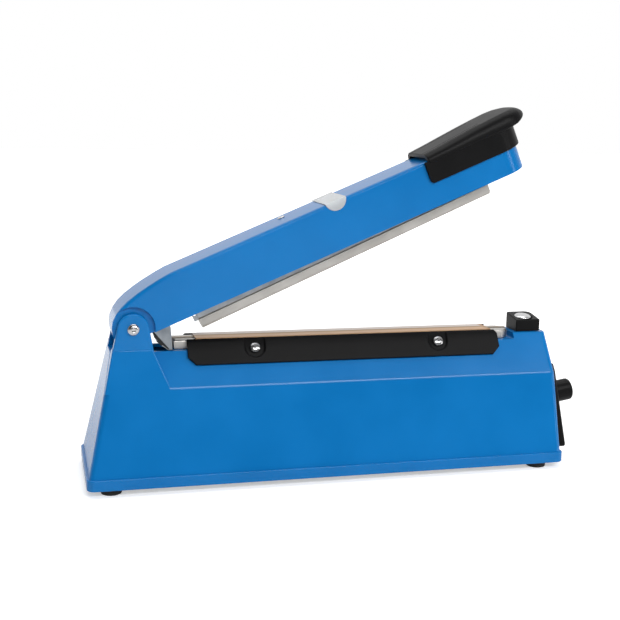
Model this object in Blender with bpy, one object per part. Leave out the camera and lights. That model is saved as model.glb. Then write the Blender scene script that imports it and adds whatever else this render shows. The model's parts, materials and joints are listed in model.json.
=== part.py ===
"""Impulse sealer, 200 mm class, modelled as a set of named pieces.

The base stands on four feet with its floor at z = 0. X runs from the hinge end to the timer knob,
Y runs across. The arm is shown open, as it rests. Everything is in metres.
"""

import math

import bmesh
import bpy
from mathutils import Matrix, Vector

# Fits and cutting
GAP = 0.0003
OVER = 0.002
SEGMENTS = 24

# Base housing
BASE_LENGTH = 0.310
BASE_WIDTH = 0.080
FOOT_HEIGHT = 0.004
FLANGE_THICK = 0.007
FLANGE_LEDGE = 0.0014
CORNER_RADIUS = 0.005
CREASE_HEIGHT = 0.062
UPPER_LEAN_SHARE = 0.61538462
DECK_HEIGHT = 0.0828
DECK_HALF_WIDTH = 0.0128
SHOULDER_RISE = 0.0040
SHOULDER_LENGTH = 0.0265
HINGE_END_LEAN_SHARE = 0.212
KNOB_END_LEAN_SHARE = 0.038
TOP_EDGE_ROUND = 0.0012
WALL = 0.0022
DECK_WALL = 0.0024

# Hinge
HINGE_X = 0.0303
HINGE_RISE = 0.0154
EAR_RADIUS = 0.0096
EAR_FOOT_HALF = 0.0111
EAR_FOOT_RISE = 0.0029
EAR_OUTER = 0.0195
EAR_THICK = 0.0042
PAD_RIGHT_TOP = 0.0117
PAD_STEP = 0.000059
PAD_RIGHT_BOTTOM = 0.0236
PAD_EDGE_INSET = 0.0004
PIN_RADIUS = 0.0024
PIN_HEAD_RADIUS = 0.0036
PIN_HEAD_HEIGHT = 0.0018
REST_ANGLE = math.radians(22.9)

# Arm
ARM_HALF_WIDTH = 0.0173
ARM_TOP = 0.0223
ARM_BOTTOM = -0.0070
NOSE_SETBACK = 0.0037
ARM_NOSE_RADIUS = 0.0160
ARM_EDGE_ROUND = 0.0030
ARM_WALL = 0.0013
ARM_REAR_RADIUS = 0.0130
CHEEK_RADIUS = 0.0135
CHEEK_HALF_WIDTH = 0.0148
REAR_SLOPE_START = 0.0340
REAR_SLOPE_END = 0.0060
REAR_SLOPE_DROP = 0.0042

# Steel frame inside the arm
FRAME_HALF_WIDTH = 0.0102
FRAME_SHEET = 0.0014
FRAME_TOP = 0.0204
FRAME_BOTTOM = -0.0064
FRAME_SETBACK = 0.0200
FRAME_WEB_START = 0.0200
TONGUE_FRONT = 0.0214
TONGUE_REAR = 0.0104
TONGUE_TIP_FRONT = 0.0167
TONGUE_TIP_REAR = 0.0143
TONGUE_NECK = -0.0153
TONGUE_TIP = -0.0240
BUSH_RADIUS = 0.0050
STRIKER_HALF_WIDTH = 0.0040
STRIKER_LOW = -0.0003

# Pressing bar
BAR_OVERHANG = 0.0008
BAR_SHIFT = 0.0067
BAR_DROP = 0.0184
BAR_ROCK = math.radians(1.04)
BAR_PIN_ABOVE_FACE = 0.0155
BAR_PIN_RADIUS = 0.0015
BAR_TRAVEL = 0.0102
BAR_HALF_WIDTH = 0.0046
BAR_BODY_HEIGHT = 0.0052
BAR_RIB_HALF_WIDTH = 0.0034
BAR_RIB_HEIGHT = 0.0050
BAR_GROOVE = 0.0008
CHANNEL_HALF_WIDTH = 0.0050
CHANNEL_SHEET = 0.0012
CHANNEL_ABOVE_PIN = 0.0025
SILICONE_HEIGHT = 0.0008
SILICONE_HALF_WIDTH = 0.0036
BAR_SPRING_FROM_END = 0.0358
BAR_SPRING_RADIUS = 0.0034
BAR_SPRING_WIRE = 0.0004
BAR_SPRING_TURNS = 7

# Sealing bed and what lies on it
BED_START = 0.0562
BED_HALF_WIDTH = 0.0085
BED_RISE = 0.0058
BED_END_ROUND = 0.0040
ELEMENT_THICK = 0.0002
ELEMENT_HALF_WIDTH = 0.0011
ELEMENT_TAIL = 0.0110
CLOTH_THICK = 0.00025
CLOTH_FROM_END = 0.0045
STRIP_START = 0.0638
STRIP_FROM_SHOULDER = 0.0113
STRIP_HEIGHT = 0.0175
STRIP_THICK = 0.0020
STRIP_CHAMFER = 0.0050
STRIP_SCREW_FROM_END = 0.0425
STRIP_SCREW_DROP = 0.0075
STRIP_NOTCH_RADIUS = 0.0060
STRIP_NOTCH_DEPTH = 0.0007
TERMINAL_LENGTH = 0.0080
TERMINAL_HALF_WIDTH = 0.0035
TERMINAL_HEIGHT = 0.0060
TERMINAL_DROP = 0.0095

# Screws
SCREW_HEAD_RADIUS = 0.0034
SCREW_HEAD_HEIGHT = 0.0019
SCREW_SHANK_RADIUS = 0.0015
SCREW_HOLE_RADIUS = 0.0019
SCREW_LENGTH = 0.0070
RECESS_WIDTH = 0.0007
RECESS_DEPTH = 0.0011
RECESS_SHARE = 0.62

# Start switch
BLOCK_SETBACK = 0.0045
BLOCK_LENGTH = 0.0160
BLOCK_HALF_WIDTH = 0.0075
BLOCK_HEIGHT = 0.0092
BLOCK_ROUND = 0.0014
BUTTON_RADIUS = 0.0044
BUTTON_RISE = 0.0012
BUTTON_HEIGHT = 0.0052
BUTTON_TRAVEL = 0.0020
BUTTON_STEM_RADIUS = 0.0018
BUTTON_DISH_RADIUS = 0.0062
BUTTON_DISH_DEPTH = 0.0006
BUTTON_SPRING_RADIUS = 0.0030
BUTTON_SPRING_WIRE = 0.0003
BUTTON_SPRING_TURNS = 4
BLOCK_FLOOR = 0.0016
MICROSWITCH_LENGTH = 0.0198
MICROSWITCH_HALF_WIDTH = 0.0032
MICROSWITCH_HEIGHT = 0.0104
MICROSWITCH_SHIFT = 0.0016

# Control end
PANEL_RISE = 0.0015
PANEL_ABOVE_CREASE = 0.0045
PANEL_TOP_DEPTH = 0.0032
PANEL_BOTTOM_DEPTH = 0.0098
PANEL_EDGE_MARGIN = 0.0045
PANEL_WALL = 0.0018
PANEL_ROUND = 0.0015
KNOB_OFFSET = 0.0120
KNOB_BELOW_CREASE = 0.0173
KNOB_RADIUS = 0.0073
KNOB_LENGTH = 0.0145
KNOB_CAP_ROUND = 0.0010
KNOB_BORE_DEPTH = 0.0090
POT_BODY_RADIUS = 0.0080
POT_BODY_LENGTH = 0.0070
POT_BUSHING_RADIUS = 0.0034
POT_SHAFT_RADIUS = 0.0026
POT_FLAT = 0.0006
POT_SETBACK = 0.0012
PANEL_SCREW_OFFSET = 0.0190
PANEL_SCREW_BELOW_CREASE = 0.0090
PANEL_SCREW_LENGTH = 0.0090
INLET_OFFSET = 0.0160
INLET_HEIGHT = 0.0250
INLET_RADIUS = 0.0058
INLET_BORE = 0.0034
INLET_LIP = 0.0012

# Underside
PLATE_THICK = 0.0012
PLATE_RIM = 0.0030
FOOT_RADIUS = 0.0064
FOOT_INSET_X = 0.0150
FOOT_INSET_Y = 0.0095
POST_RADIUS = 0.0046
POST_TOP = 0.0220
FOOT_RECESS_RADIUS = 0.0042
FOOT_RECESS_DEPTH = 0.0024
FOOT_SCREW_LENGTH = 0.0110

# Transformer and timer board
CORE_FROM_END = 0.1600
CORE_LENGTH = 0.0600
CORE_HALF_WIDTH = 0.0150
CORE_HEIGHT = 0.0500
CORE_LIMB = 0.0100
CORE_LEG = 0.0200
CORE_WINDOW = 0.0300
WINDING_HALF_WIDTH = 0.0225
STRAP_SHEET = 0.0012
STRAP_FOOT = 0.0120
STRAP_HALF_WIDTH = 0.0080
BOARD_FROM_END = 0.0850
BOARD_LENGTH = 0.0560
BOARD_HALF_WIDTH = 0.0220
BOARD_THICK = 0.0016
BOARD_STANDOFF = 0.0080
STANDOFF_RADIUS = 0.0035

# Handle, lens and lamp
HANDLE_REACH = 0.0675
HANDLE_SKIRT = 0.0088
HANDLE_WALL = 0.0019
HANDLE_PLATE_LIP = 0.0006
HANDLE_REAR_TOP = 0.0262
HANDLE_MID_TOP = 0.0292
HANDLE_CREST = 0.0304
HANDLE_CREST_BACK = 0.0080
HANDLE_OVERHANG = 0.0123
HANDLE_TIP_TOP = 0.0240
HANDLE_PLATE_UNDER = 0.0208
HANDLE_EDGE_ROUND = 0.0022
HANDLE_SCREW_SPACING = 0.0200
HANDLE_SCREW_BACK = 0.0280
HANDLE_SCREW_REACH = 0.0245
LENS_BACK = 0.1300
LENS_HALF_LENGTH = 0.0070
LENS_BOTTOM = 0.0164
LENS_PROUD = 0.0005
LENS_WALL = 0.0014
LAMP_RADIUS = 0.0026
LAMP_BOTTOM = 0.0120
FRAME_SCREW_BEHIND_LENS = 0.0320
FRAME_SCREW_OFFSET = 0.0060
TORSION_RADIUS = 0.0040
TORSION_WIRE = 0.0006
TORSION_HALF_SPAN = 0.0062
TORSION_TURNS = 6
TORSION_ARM_LEG = 0.0190
TORSION_BASE_LEG = 0.0110

# Heights and places that follow from the sizes above
FLANGE_TOP = FOOT_HEIGHT + FLANGE_THICK
SHOULDER_TOP = DECK_HEIGHT + SHOULDER_RISE
SHOULDER_START = BASE_LENGTH - FLANGE_LEDGE - SHOULDER_LENGTH
PLATE_TOP = FOOT_HEIGHT + PLATE_THICK
LOWER_HALF_WIDTH = BASE_WIDTH / 2 - FLANGE_LEDGE
CREASE_HALF_WIDTH = DECK_HALF_WIDTH + UPPER_LEAN_SHARE * (DECK_HEIGHT - CREASE_HEIGHT)
LOWER_SLOPE = (LOWER_HALF_WIDTH - CREASE_HALF_WIDTH) / (CREASE_HEIGHT - FLANGE_TOP)
HINGE_Z = DECK_HEIGHT + HINGE_RISE
EAR_FOOT_HEIGHT = DECK_HEIGHT + EAR_FOOT_RISE
BED_TOP = DECK_HEIGHT + BED_RISE
STRIP_TOP = BED_TOP + GAP
BED_END = SHOULDER_START - GAP - GAP - ELEMENT_THICK - GAP
ELEMENT_TOP = BED_TOP + GAP + ELEMENT_THICK
CLOTH_TOP = ELEMENT_TOP + GAP + CLOTH_THICK
STRIP_LENGTH = SHOULDER_START - STRIP_FROM_SHOULDER - STRIP_START
STRIP_CENTRE = STRIP_START + STRIP_LENGTH / 2
STRIP_SCREW_OFFSET = STRIP_LENGTH / 2 - STRIP_SCREW_FROM_END
CLOTH_LENGTH = STRIP_LENGTH - CLOTH_FROM_END * 2
BAR_LENGTH = STRIP_LENGTH + BAR_OVERHANG * 2
BAR_CENTRE = STRIP_CENTRE - HINGE_X + BAR_SHIFT
BAR_SPRING_OFFSET = BAR_LENGTH / 2 - BAR_SPRING_FROM_END
BLOCK_START = SHOULDER_START + BLOCK_SETBACK
BLOCK_TOP = SHOULDER_TOP + GAP + BLOCK_HEIGHT
BLOCK_CENTRE = BLOCK_START + BLOCK_LENGTH / 2
BUTTON_TOP = BLOCK_TOP + BUTTON_RISE
CAVITY_TOP = DECK_HEIGHT - DECK_WALL
PANEL_BOTTOM = FLANGE_TOP + PANEL_RISE
PANEL_TOP = CREASE_HEIGHT + PANEL_ABOVE_CREASE
KNOB_HEIGHT = CREASE_HEIGHT - KNOB_BELOW_CREASE
PANEL_SCREW_HEIGHT = CREASE_HEIGHT - PANEL_SCREW_BELOW_CREASE
CORE_CENTRE = BASE_LENGTH - CORE_FROM_END
BOARD_START = BASE_LENGTH - BOARD_FROM_END
STRIKER_AT = BLOCK_CENTRE - HINGE_X
ARM_NOSE = BASE_LENGTH - HINGE_X - NOSE_SETBACK
FRAME_FRONT = ARM_NOSE - FRAME_SETBACK
HANDLE_START = ARM_NOSE - HANDLE_REACH
HANDLE_CREST_AT = ARM_NOSE - HANDLE_CREST_BACK
HANDLE_TIP = ARM_NOSE + HANDLE_OVERHANG
HANDLE_SCREW_SECOND = ARM_NOSE - HANDLE_SCREW_BACK
HANDLE_SCREW_FIRST = HANDLE_SCREW_SECOND - HANDLE_SCREW_SPACING
LENS_CENTRE = ARM_NOSE - LENS_BACK
FRAME_SCREW_AT = LENS_CENTRE - FRAME_SCREW_BEHIND_LENS
PANEL_LEAN = (PANEL_BOTTOM_DEPTH - PANEL_TOP_DEPTH) / (PANEL_TOP - PANEL_BOTTOM) - KNOB_END_LEAN_SHARE
STRIP_TILT = math.atan(UPPER_LEAN_SHARE)


def lower_half(z):
    """Half width of the lower wall."""
    return CREASE_HALF_WIDTH + LOWER_SLOPE * (CREASE_HEIGHT - z)


def upper_half(z):
    """Half width of the leaning upper wall."""
    return DECK_HALF_WIDTH + UPPER_LEAN_SHARE * (DECK_HEIGHT - z)


def pad_half(z):
    """Half width of the pads, from the crease up to just outside the ears."""
    share = (z - CREASE_HEIGHT) / (EAR_FOOT_HEIGHT - CREASE_HEIGHT)
    return CREASE_HALF_WIDTH + (EAR_OUTER + PAD_STEP - CREASE_HALF_WIDTH) * share


def hinge_end(z):
    return FLANGE_LEDGE + HINGE_END_LEAN_SHARE * (z - FLANGE_TOP)


def knob_end(z):
    return BASE_LENGTH - FLANGE_LEDGE - KNOB_END_LEAN_SHARE * (z - FLANGE_TOP)


def panel_face(z):
    """Where the outer face of the control panel stands at a height."""
    drop_share = (PANEL_TOP - z) / (PANEL_TOP - PANEL_BOTTOM)
    depth = PANEL_TOP_DEPTH + (PANEL_BOTTOM_DEPTH - PANEL_TOP_DEPTH) * drop_share
    return knob_end(z) + depth


PANEL_TILT = math.atan(
    (panel_face(PANEL_BOTTOM) - panel_face(PANEL_TOP)) / (PANEL_TOP - PANEL_BOTTOM)
)
OVERALL_LENGTH = panel_face(KNOB_HEIGHT) + (GAP + KNOB_LENGTH) * math.cos(PANEL_TILT)
OVERALL_LENGTH = OVERALL_LENGTH + (KNOB_RADIUS - KNOB_CAP_ROUND) * math.sin(PANEL_TILT)


def clear_scene():
    for old in list(bpy.data.objects):
        bpy.data.objects.remove(old, do_unlink=True)


def material(name, colour, roughness, metallic=0.0):
    made = bpy.data.materials.new(name)
    made.use_nodes = True
    shader = made.node_tree.nodes["Principled BSDF"]
    shader.inputs["Base Color"].default_value = (*colour, 1.0)
    shader.inputs["Roughness"].default_value = roughness
    shader.inputs["Metallic"].default_value = metallic
    return made


def empty(name, parent=None, location=(0, 0, 0), rotation=(0, 0, 0)):
    made = bpy.data.objects.new(name, None)
    bpy.context.collection.objects.link(made)
    made.parent = parent
    made.location = location
    made.rotation_euler = rotation
    return made


def add_object(name, bm, parent, surface=None, smooth=False):
    """Turns a bmesh into an object whose faces point out."""
    bmesh.ops.recalc_face_normals(bm, faces=bm.faces)
    mesh = bpy.data.meshes.new(name)
    bm.to_mesh(mesh)
    bm.free()
    made = bpy.data.objects.new(name, mesh)
    bpy.context.collection.objects.link(made)
    made.parent = parent
    if surface:
        mesh.materials.append(surface)
    if smooth:
        mesh.shade_smooth()
        mesh.set_sharp_from_angle(angle=math.radians(35))
    return made


def combine(target, name, bm, operation):
    """Joins a helper shape to a piece, or cuts it from it."""
    helper = add_object(name, bm, target.parent)
    helper.location = target.location
    helper.rotation_euler = target.rotation_euler
    helper.hide_render = True
    helper.display_type = "WIRE"
    modifier = target.modifiers.new(name, "BOOLEAN")
    modifier.operation = operation
    modifier.object = helper
    modifier.solver = "EXACT"
    return helper


def cut(target, name, bm):
    return combine(target, name, bm, "DIFFERENCE")


def join(target, name, bm):
    return combine(target, name, bm, "UNION")


def rings_to_solid(bm, rings):
    """Skins a stack of outlines that have the same number of points."""
    levels = [[bm.verts.new(point) for point in ring] for ring in rings]
    for low, high in zip(levels, levels[1:]):
        for index, corner in enumerate(low):
            following = (index + 1) % len(low)
            bm.faces.new((corner, low[following], high[following], high[index]))
    bm.faces.new(list(reversed(levels[0])))
    bm.faces.new(levels[-1])


def solid(*stacks):
    bm = bmesh.new()
    for rings in stacks:
        rings_to_solid(bm, rings)
    return bm


def box(x0, x1, y0, y1, z0, z1):
    """Two rings of a plain block."""
    ring = [(x0, y0), (x1, y0), (x1, y1), (x0, y1)]
    return [[(x, y, z) for x, y in ring] for z in (z0, z1)]


def prism_y(outline, y0, y1):
    return [[(x, y, z) for x, z in outline] for y in (y0, y1)]


def prism_z(outline, z0, z1):
    return [[(x, y, z) for x, y in outline] for z in (z0, z1)]


def prism_x(outline, x0, x1):
    return [[(x, y, z) for y, z in outline] for x in (x0, x1)]


def arc(cx, cy, radius, start, end, steps):
    """Points of a circular arc, with the angles in degrees."""
    points = []
    for step in range(steps + 1):
        angle = math.radians(start + (end - start) * step / steps)
        points.append((cx + radius * math.cos(angle), cy + radius * math.sin(angle)))
    return points


def rounded_rectangle(x0, x1, half, radius, steps=3):
    outline = arc(x1 - radius, half - radius, radius, 0, 90, steps)
    outline += arc(x0 + radius, half - radius, radius, 90, 180, steps)
    outline += arc(x0 + radius, radius - half, radius, 180, 270, steps)
    outline += arc(x1 - radius, radius - half, radius, 270, 360, steps)
    return outline


def disc_rings(centre, direction, profile, segments=SEGMENTS):
    """Rings of a turned shape: the profile lists (radius, distance along the axis)."""
    axis = Vector(direction).normalized()
    side = axis.orthogonal().normalized()
    across = axis.cross(side)
    rings = []
    for radius, along in profile:
        ring = []
        for step in range(segments):
            angle = 2 * math.pi * step / segments
            offset = side * (radius * math.cos(angle)) + across * (radius * math.sin(angle))
            ring.append(Vector(centre) + axis * along + offset)
        rings.append(ring)
    return rings


def rod(centre, direction, radius, length, segments=SEGMENTS):
    return disc_rings(centre, direction, [(radius, 0), (radius, length)], segments)


def coil(name, parent, surface, points, wire):
    """A round wire that follows a list of points."""
    curve = bpy.data.curves.new(name, "CURVE")
    curve.dimensions = "3D"
    curve.bevel_depth = wire
    curve.bevel_resolution = 1
    curve.use_fill_caps = True
    spline = curve.splines.new("POLY")
    spline.points.add(len(points) - 1)
    for slot, point in zip(spline.points, points):
        slot.co = (*point, 1.0)
    curve.materials.append(surface)
    made = bpy.data.objects.new(name, curve)
    bpy.context.collection.objects.link(made)
    made.parent = parent
    return made


def helix(centre, direction, radius, length, turns, steps=10):
    axis = Vector(direction).normalized()
    side = axis.orthogonal().normalized()
    across = axis.cross(side)
    points = []
    for step in range(turns * steps + 1):
        angle = 2 * math.pi * step / steps
        along = length * step / (turns * steps)
        offset = side * (radius * math.cos(angle)) + across * (radius * math.sin(angle))
        points.append(Vector(centre) + axis * along + offset)
    return points


def screw(name, parent, surface, seat, direction, length=SCREW_LENGTH, recess=True):
    """A pan head cross screw: seat is the centre of the head's underside, direction points out."""
    out = Vector(direction).normalized()
    start = Vector(seat) - out * length
    profile = [
        (SCREW_SHANK_RADIUS, 0),
        (SCREW_SHANK_RADIUS, length),
        (SCREW_HEAD_RADIUS, length),
        (SCREW_HEAD_RADIUS, length + SCREW_HEAD_HEIGHT / 2),
        (SCREW_HEAD_RADIUS * RECESS_SHARE, length + SCREW_HEAD_HEIGHT),
    ]
    made = add_object(name, solid(disc_rings(start, out, profile, 16)), parent, surface, True)
    if recess:
        side = out.orthogonal().normalized()
        across = out.cross(side)
        reach = SCREW_HEAD_RADIUS * RECESS_SHARE
        top = Vector(seat) + out * (SCREW_HEAD_HEIGHT - RECESS_DEPTH)
        cross = []
        for along, wide in ((side, across), (across, side)):
            half = wide * (RECESS_WIDTH / 2)
            ring = [
                top + along * reach + half,
                top - along * reach + half,
                top - along * reach - half,
                top + along * reach - half,
            ]
            cross.append([ring, [point + out * (RECESS_DEPTH + OVER) for point in ring]])
        for number, rings in enumerate(cross):
            cut(made, f"{name}_recess_{number}", solid(rings))
    return made


def base_ring(z, inset=0.0, half=None, radius=CORNER_RADIUS):
    half_width = (lower_half(z) if z <= CREASE_HEIGHT else upper_half(z)) if half is None else half
    outline = rounded_rectangle(
        hinge_end(z) + inset, knob_end(z) - inset, half_width - inset, max(radius - inset, GAP)
    )
    return [(x, y, z) for x, y in outline]


def build_base_housing(parent, blue):
    """Moulded body: flange, double slope walls, deck, shoulder, pads and ears."""
    flange = rounded_rectangle(0, BASE_LENGTH, BASE_WIDTH / 2, CORNER_RADIUS)
    edge_z = SHOULDER_TOP - TOP_EDGE_ROUND
    rings = [
        [(x, y, FOOT_HEIGHT) for x, y in flange],
        [(x, y, FLANGE_TOP) for x, y in flange],
        base_ring(FLANGE_TOP),
        base_ring(CREASE_HEIGHT),
        base_ring(edge_z),
        base_ring(SHOULDER_TOP, TOP_EDGE_ROUND),
    ]
    body = add_object("base_housing", solid(rings), parent, blue, True)

    wide = BASE_WIDTH
    cut(body, "deck_cut", solid(box(-OVER, SHOULDER_START, -wide, wide, DECK_HEIGHT, wide + wide)))

    for side, word in ((1, "far"), (-1, "near")):
        join(body, f"pad_{word}", solid(pad_rings(side, 0)))
        join(body, f"ear_{word}", solid(ear_rings(side)))

    plate_z = PLATE_TOP + GAP
    plate_half = BASE_WIDTH / 2 - PLATE_RIM
    plate_ring = rounded_rectangle(PLATE_RIM, BASE_LENGTH - PLATE_RIM, plate_half, CORNER_RADIUS)
    floor_inset = WALL + PLATE_RIM / 2
    cavity = [
        [(x, y, FOOT_HEIGHT - OVER) for x, y in plate_ring],
        [(x, y, plate_z) for x, y in plate_ring],
        base_ring(plate_z, floor_inset),
        base_ring(FLANGE_TOP, WALL + GAP),
        base_ring(CREASE_HEIGHT, WALL + GAP),
        base_ring(CAVITY_TOP, WALL + GAP),
    ]
    cut(body, "cavity_cut", solid(cavity))
    for side, word in ((1, "far"), (-1, "near")):
        cut(body, f"pad_cut_{word}", solid(pad_rings(side, WALL)))

    for number, (x, y) in enumerate(foot_places()):
        post = rod((x, y, plate_z), (0, 0, 1), POST_RADIUS, POST_TOP - plate_z, 16)
        join(body, f"post_{number}", solid(post))
        wall_y = math.copysign(lower_half(POST_TOP) - WALL / 2, y)
        rib = box(
            x - WALL / 2, x + WALL / 2, min(y, wall_y), max(y, wall_y), plate_z + GAP, POST_TOP - GAP
        )
        join(body, f"post_rib_{number}", solid(rib))
        hole = rod((x, y, FOOT_HEIGHT), (0, 0, 1), SCREW_HOLE_RADIUS, FOOT_SCREW_LENGTH + OVER, 12)
        cut(body, f"post_hole_{number}", solid(hole))

    pin_hole = rod((HINGE_X, -wide / 2, HINGE_Z), (0, 1, 0), PIN_RADIUS + GAP, wide)
    cut(body, "pin_hole_cut", solid(pin_hole))
    opening_half = FRAME_HALF_WIDTH + GAP + GAP
    rear = HINGE_X - EAR_RADIUS
    front = BED_START - GAP
    cut(body, "tongue_opening_cut", solid(
        box(rear, front, -opening_half, opening_half, CAVITY_TOP - OVER, SHOULDER_TOP)
    ))
    cut(body, "element_slot_cut", solid(box(
        BED_END + GAP / 2, SHOULDER_START + GAP, -TERMINAL_HALF_WIDTH, TERMINAL_HALF_WIDTH,
        CAVITY_TOP - OVER, SHOULDER_TOP + OVER,
    )))
    for number, x in enumerate(bed_screw_places()):
        hole = rod((x, 0, CAVITY_TOP - OVER), (0, 0, 1), SCREW_HOLE_RADIUS, DECK_WALL + OVER + OVER, 16)
        cut(body, f"bed_screw_hole_{number}", solid(hole))
    stem = rod(
        (BLOCK_CENTRE, 0, CAVITY_TOP - OVER), (0, 0, 1), BUTTON_STEM_RADIUS + GAP + GAP, DECK_HEIGHT / 2
    )
    cut(body, "stem_hole_cut", solid(stem))
    for name, x, y, z, out in strip_screw_places():
        start = Vector((x, y, z)) - out * (SCREW_LENGTH + OVER)
        cut(body, f"{name}_hole", solid(rod(start, out, SCREW_HOLE_RADIUS, SCREW_LENGTH + OVER, 12)))
    cut_control_wall(body)
    return body


def pad_rings(side, inset):
    """The thick part under an ear, whose face runs from the crease up to the ear."""
    top = EAR_FOOT_HEIGHT - inset
    low = CREASE_HEIGHT - (OVER if inset else 0)
    start = PAD_EDGE_INSET + inset
    outline = [
        (hinge_end(low) + start, low),
        (HINGE_X + PAD_RIGHT_BOTTOM - inset, low),
        (HINGE_X + PAD_RIGHT_TOP - inset, top),
        (hinge_end(top) + start, top),
    ]
    inner = FRAME_HALF_WIDTH + GAP + GAP + (inset if inset else WALL / 2)
    inside = [(x, side * inner, z) for x, z in outline]
    outside = [(x, side * (pad_half(z) - inset), z) for x, z in outline]
    return [inside, outside]


def ear_rings(side):
    foot_angle = math.degrees(math.atan2(EAR_FOOT_HALF - EAR_RADIUS, HINGE_Z - EAR_FOOT_HEIGHT))
    low = EAR_FOOT_HEIGHT - WALL / 2
    outline = arc(HINGE_X, HINGE_Z, EAR_RADIUS, foot_angle, 180 - foot_angle, 14)
    outline += [(HINGE_X - EAR_FOOT_HALF, low), (HINGE_X + EAR_FOOT_HALF, low)]
    inner = EAR_OUTER - EAR_THICK
    return prism_y(outline, side * inner, side * EAR_OUTER)


def foot_places():
    y = BASE_WIDTH / 2 - FOOT_INSET_Y
    return [
        (x, side * y)
        for x in (FOOT_INSET_X, BASE_LENGTH - FOOT_INSET_X)
        for side in (-1, 1)
    ]


def bed_screw_places():
    return [BED_START + TERMINAL_LENGTH * 2, BED_END - TERMINAL_LENGTH * 2]


def strip_frame(side):
    """Seat of a clamp strip: its top edge line on the wall, and its outward direction."""
    out = Vector((0, side * math.cos(STRIP_TILT), math.sin(STRIP_TILT)))
    up = Vector((0, -side * math.sin(STRIP_TILT), math.cos(STRIP_TILT)))
    seat = Vector((STRIP_CENTRE, side * upper_half(STRIP_TOP), STRIP_TOP)) + out * GAP
    return seat, out, up


def strip_screw_places():
    """Name, seat of the head and outward direction of each strip screw."""
    places = []
    for side, word in ((-1, "near"), (1, "far")):
        seat, out, up = strip_frame(side)
        for sign, end in ((-1, "rear"), (1, "front")):
            point = seat + out * (STRIP_THICK - STRIP_NOTCH_DEPTH + GAP) - up * STRIP_SCREW_DROP
            point.x = STRIP_CENTRE + sign * STRIP_SCREW_OFFSET
            places.append((f"strip_screw_{word}_{end}", point.x, point.y, point.z, out))
    return places


def panel_point(y, z, out):
    """A point that stands out from the panel's face by a distance along its normal."""
    return Vector((
        panel_face(z) + out * math.cos(PANEL_TILT), y, z + out * math.sin(PANEL_TILT)
    ))


def panel_axis():
    return Vector((math.cos(PANEL_TILT), 0, math.sin(PANEL_TILT)))


def cut_control_wall(body):
    axis = panel_axis()
    start = panel_point(-KNOB_OFFSET, KNOB_HEIGHT, 0) - axis * (WALL * 8)
    cut(body, "pot_hole_cut", solid(rod(start, axis, POT_BUSHING_RADIUS + GAP, WALL * 8)))
    start = panel_point(INLET_OFFSET, INLET_HEIGHT, 0) - axis * (WALL * 8)
    cut(body, "inlet_hole_cut", solid(rod(start, axis, INLET_RADIUS + GAP, WALL * 8)))
    for name, y in panel_screw_places():
        start = panel_point(y, PANEL_SCREW_HEIGHT, 0) - axis * (PANEL_SCREW_LENGTH + OVER)
        cut(body, f"{name}_hole", solid(rod(start, axis, SCREW_HOLE_RADIUS, PANEL_SCREW_LENGTH + OVER, 12)))


def panel_screw_places():
    return [("panel_screw_near", -PANEL_SCREW_OFFSET), ("panel_screw_far", PANEL_SCREW_OFFSET)]


def build_underside(parent, steel, rubber, chrome):
    half = BASE_WIDTH / 2 - PLATE_RIM - GAP
    outline = rounded_rectangle(PLATE_RIM + GAP, BASE_LENGTH - PLATE_RIM - GAP, half, CORNER_RADIUS)
    plate = add_object("bottom_plate", solid(prism_z(outline, FOOT_HEIGHT, PLATE_TOP)), parent, steel)
    for number, (x, y) in enumerate(foot_places(), 1):
        hole = rod((x, y, FOOT_HEIGHT - OVER), (0, 0, 1), SCREW_HOLE_RADIUS, OVER + OVER + PLATE_THICK, 16)
        cut(plate, f"plate_hole_{number}", solid(hole))
        profile = [
            (FOOT_RADIUS - GAP * 2, 0),
            (FOOT_RADIUS, GAP * 2),
            (FOOT_RADIUS, FOOT_HEIGHT - GAP),
        ]
        foot = add_object(f"foot_{number}", solid(disc_rings((x, y, 0), (0, 0, 1), profile)), parent, rubber, True)
        cut(foot, f"foot_recess_{number}", solid(
            rod((x, y, -OVER), (0, 0, 1), FOOT_RECESS_RADIUS, OVER + FOOT_RECESS_DEPTH)
        ))
        cut(foot, f"foot_hole_{number}", solid(rod((x, y, 0), (0, 0, 1), SCREW_HOLE_RADIUS, FOOT_HEIGHT, 16)))
        seat = (x, y, FOOT_RECESS_DEPTH - GAP)
        screw(f"foot_screw_{number}", parent, chrome, seat, (0, 0, -1), FOOT_SCREW_LENGTH, False)
    return plate


def build_hinge_pin(parent, chrome):
    """Riveted pin: a domed head on the near side and a pressed cap on the far side."""
    ear = EAR_OUTER + GAP
    crown = PIN_HEAD_RADIUS * RECESS_SHARE
    profile = [
        (crown, -PIN_HEAD_HEIGHT),
        (PIN_HEAD_RADIUS, -PIN_HEAD_HEIGHT / 2),
        (PIN_HEAD_RADIUS, 0),
        (PIN_RADIUS, 0),
        (PIN_RADIUS, ear + ear + PIN_HEAD_HEIGHT / 2),
    ]
    start = (HINGE_X, -ear, HINGE_Z)
    add_object("hinge_pin", solid(disc_rings(start, (0, 1, 0), profile)), parent, chrome, True)
    cap = [
        (PIN_HEAD_RADIUS, 0),
        (PIN_HEAD_RADIUS, PIN_HEAD_HEIGHT / 2),
        (crown, PIN_HEAD_HEIGHT),
    ]
    start = (HINGE_X, ear, HINGE_Z)
    made = add_object("pin_cap", solid(disc_rings(start, (0, 1, 0), cap)), parent, chrome, True)
    bore = rod((HINGE_X, ear - OVER, HINGE_Z), (0, 1, 0), PIN_RADIUS + GAP, OVER + PIN_HEAD_HEIGHT / 2 + GAP)
    cut(made, "pin_cap_bore", solid(bore))


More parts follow.
